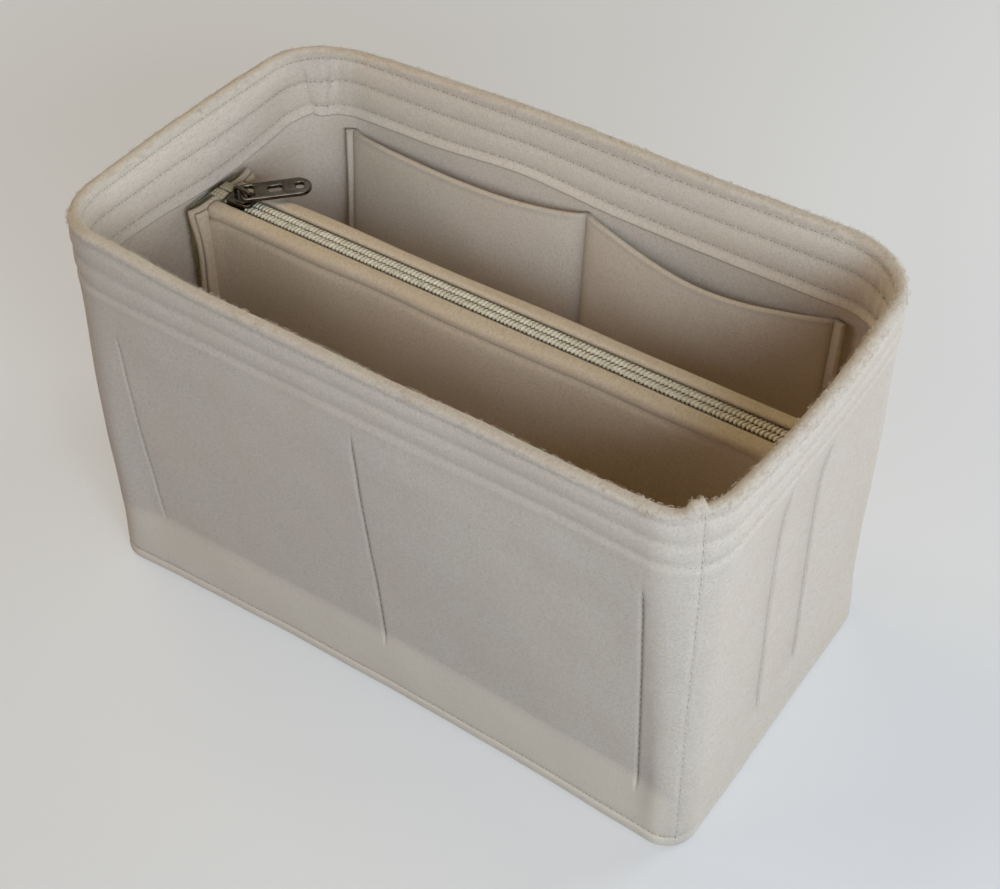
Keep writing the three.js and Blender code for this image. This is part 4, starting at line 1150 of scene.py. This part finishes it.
tab = {"thickness": 1.8, "bevel": 0.4, "reach": 26.0, "endWidth": 10.2, "bar": 1.5, "rail": 1.2,
       "eyeEnd": 4.41, "eyeWidth": 7.57, "corner": 1.6, "slotCorner": 1.2,
       "slots": ((9.6, 5.4), (20.0, 3.2)), "slotWidth": 4.0,
       "yaw": 50.0, "droop": 2.25}


def buildTab():
    root = tab["eyeWidth"] + 2 * tab["rail"]
    corner, end = tab["corner"], tab["endWidth"] / 2
    start = corner - tab["bar"] / 2
    outline = arc(start, corner - root / 2, corner, 180, 90, 6)
    outline += arc(tab["reach"] - end, 0, end, -90, 180, 24)
    outline += arc(start, root / 2 - corner, corner, 90, 90, 6)
    windows = [(tab["bar"] / 2, tab["eyeEnd"] - tab["bar"] / 2, tab["eyeWidth"])]
    windows += [(at, length, tab["slotWidth"]) for at, length in tab["slots"]]
    curve = bpy.data.curves.new("tabOutline", "CURVE")
    curve.dimensions, curve.fill_mode = "2D", "BOTH"
    loops = [outline]
    for at, length, width in windows:
        rounded = roundedOutline(length, width, tab["slotCorner"], 5)
        loops.append([(x + at + length / 2, y) for x, y in rounded])
    for loop in loops:
        spline = curve.splines.new("POLY")
        spline.points.add(len(loop) - 1)
        spline.use_cyclic_u = True
        for point, (x, y) in zip(spline.points, loop):
            point.co = (x * mm, y * mm, 0, 1)
    curve.extrude = (tab["thickness"] / 2 - tab["bevel"]) * mm
    curve.bevel_depth, curve.offset = tab["bevel"] * mm, -tab["bevel"] * mm
    curve.bevel_resolution = 3
    mesh = asMesh(putIn("tabOutline", curve), "pull_tab_cast")
    joint = next(j for j in frame["record"]["behaviour"]["joints"] if j["name"] == "pull_swing")
    place = Matrix.Translation(Vector(joint["pos_m"])) @ Matrix.Rotation(math.radians(tab["yaw"]), 4, "Z")
    mesh.transform(place @ Matrix.Rotation(math.radians(tab["droop"]), 4, "Y"))
    return plated("pull_tab_cast", mesh)


settle(buildTab(), "pull", "black_nickel", "pull_tab")
print("zip, slider and tab made")


# Floor, light and camera
studio = {"floor": "#F0EFEC", "shadeFloor": "#55504C", "glow": "#D2D1CF", "glowShare": 0.45,
          "floorSize": 12.0, "world": 0.012, "seenWorld": 0.9, "aimHeight": 0.06,
          "evenFrom": 0.4, "evenBy": 1.0}
# each lamp: place, watts of red, green and blue, size; fitted to tones of the photograph's walls
lamps = {
    "windowLight": ((0.74, -0.63, 0.51), (5.3, 6.4, 7.6), 0.5),
    "roomLight": ((0.92, -0.36, 0.5), (2.2, 2.3, 2.8), 0.5),
    "sideLight": ((0.5, 0.75, 0.3), (4.1, 4.45, 4.9), 0.4),
    "leftLight": ((-0.72, -0.62, 0.5), (2.0, 1.75, 1.75), 0.5),
    "ceilingLight": ((-0.5, 0.1, 1.1), (3.3, 2.75, 1.6), 0.5),
}


def seenDirectly(tree):
    # 1 for what the camera sees, also in metal or through glass
    path = addNode(tree, "ShaderNodeLightPath")
    seen = path.outputs["Is Camera Ray"]
    for ray in ("Is Glossy Ray", "Is Transmission Ray"):
        seen = addNode(tree, "ShaderNodeMath", {0: seen, 1: path.outputs[ray]}, operation="MAXIMUM")
    return seen


def buildFloor():
    # matt paper, pale to the eye, and it throws less light back up than it shows
    material, tree, shader, place = blankMaterial("mattPaper")
    dark, pale = hexLinear(studio["shadeFloor"]), hexLinear(studio["floor"])
    colour = addNode(tree, "ShaderNodeMix", {0: seenDirectly(tree), 6: dark, 7: pale}, data_type="RGBA")
    feed(tree, shader, {"Base Color": colour.outputs[2], "Roughness": 0.95, "Specular IOR Level": 0.1})
    # to the eye alone it is evened out by a flat tone, so that the coloured lights hardly show on it
    even = addNode(tree, "ShaderNodeEmission", {"Color": hexLinear(studio["glow"])})
    reach = addNode(tree, "ShaderNodeVectorMath", {0: place}, operation="LENGTH")
    grown = addNode(tree, "ShaderNodeMapRange", {
        "Value": reach.outputs["Value"], "From Min": studio["evenFrom"], "From Max": studio["evenBy"],
        "To Min": studio["glowShare"], "To Max": 1.0})
    share = addNode(tree, "ShaderNodeMath", {0: seenDirectly(tree), 1: grown}, operation="MULTIPLY")
    mixed = addNode(tree, "ShaderNodeMixShader", {0: share, 1: shader, 2: even})
    feed(tree, tree.nodes["Material Output"], {"Surface": mixed})
    half = studio["floorSize"] / mm / 2
    corners = [(-half, -half, 0), (half, -half, 0), (half, half, 0), (-half, half, 0)]
    makePiece("floor", corners, [(0, 1, 2, 3)], material)


def addLamp(name, start, watts, size):
    data = bpy.data.lights.new(name, "AREA")
    data.energy, data.size, data.color = max(watts), size, [share / max(watts) for share in watts]
    lamp = putIn(name, data)
    lamp.location = start
    aim = Vector((0, 0, studio["aimHeight"])) - Vector(start)
    lamp.rotation_euler = aim.to_track_quat("-Z", "Y").to_euler()


buildFloor()
for name, (start, watts, size) in lamps.items():
    addLamp(name, start, watts, size)

world = bpy.data.worlds.new("softRoom")
bpy.context.scene.world = world
world.use_nodes = True
skyTree = world.node_tree
background = skyTree.nodes["Background"]
level = addNode(skyTree, "ShaderNodeMapRange", {
    "Value": seenDirectly(skyTree), "To Min": studio["world"], "To Max": studio["seenWorld"]})
feed(skyTree, background, {"Strength": level, "Color": (1.0, 0.97, 0.93, 1.0)})

# fitted to the rim and base corners
view = {"azimuth": 34.76, "elevation": 43.78, "roll": -0.42, "focal": 1740.93,
        "place": (0.2697, -0.3757, 0.5136)}


def buildCamera():
    azimuth, elevation, roll = (math.radians(view[key]) for key in ("azimuth", "elevation", "roll"))
    flat = math.cos(elevation)
    back = Vector((math.sin(azimuth) * flat, -math.cos(azimuth) * flat, math.sin(elevation)))
    level = Vector((0, 0, 1)).cross(back).normalized()
    upward = back.cross(level)
    right = math.cos(roll) * level + math.sin(roll) * upward
    upward = math.cos(roll) * upward - math.sin(roll) * level
    data = bpy.data.cameras.new("camera")
    data.sensor_width = 36.0
    data.lens = view["focal"] * data.sensor_width / 1000
    data.clip_start, data.clip_end = 0.01, 20
    camera = putIn("camera", data)
    turn = Matrix((right, upward, back)).transposed().to_4x4()
    camera.matrix_world = Matrix.Translation(Vector(view["place"])) @ turn
    bpy.context.scene.camera = camera


buildCamera()
bpy.context.scene.view_settings.view_transform = "Standard"
print("floor, light and camera set")
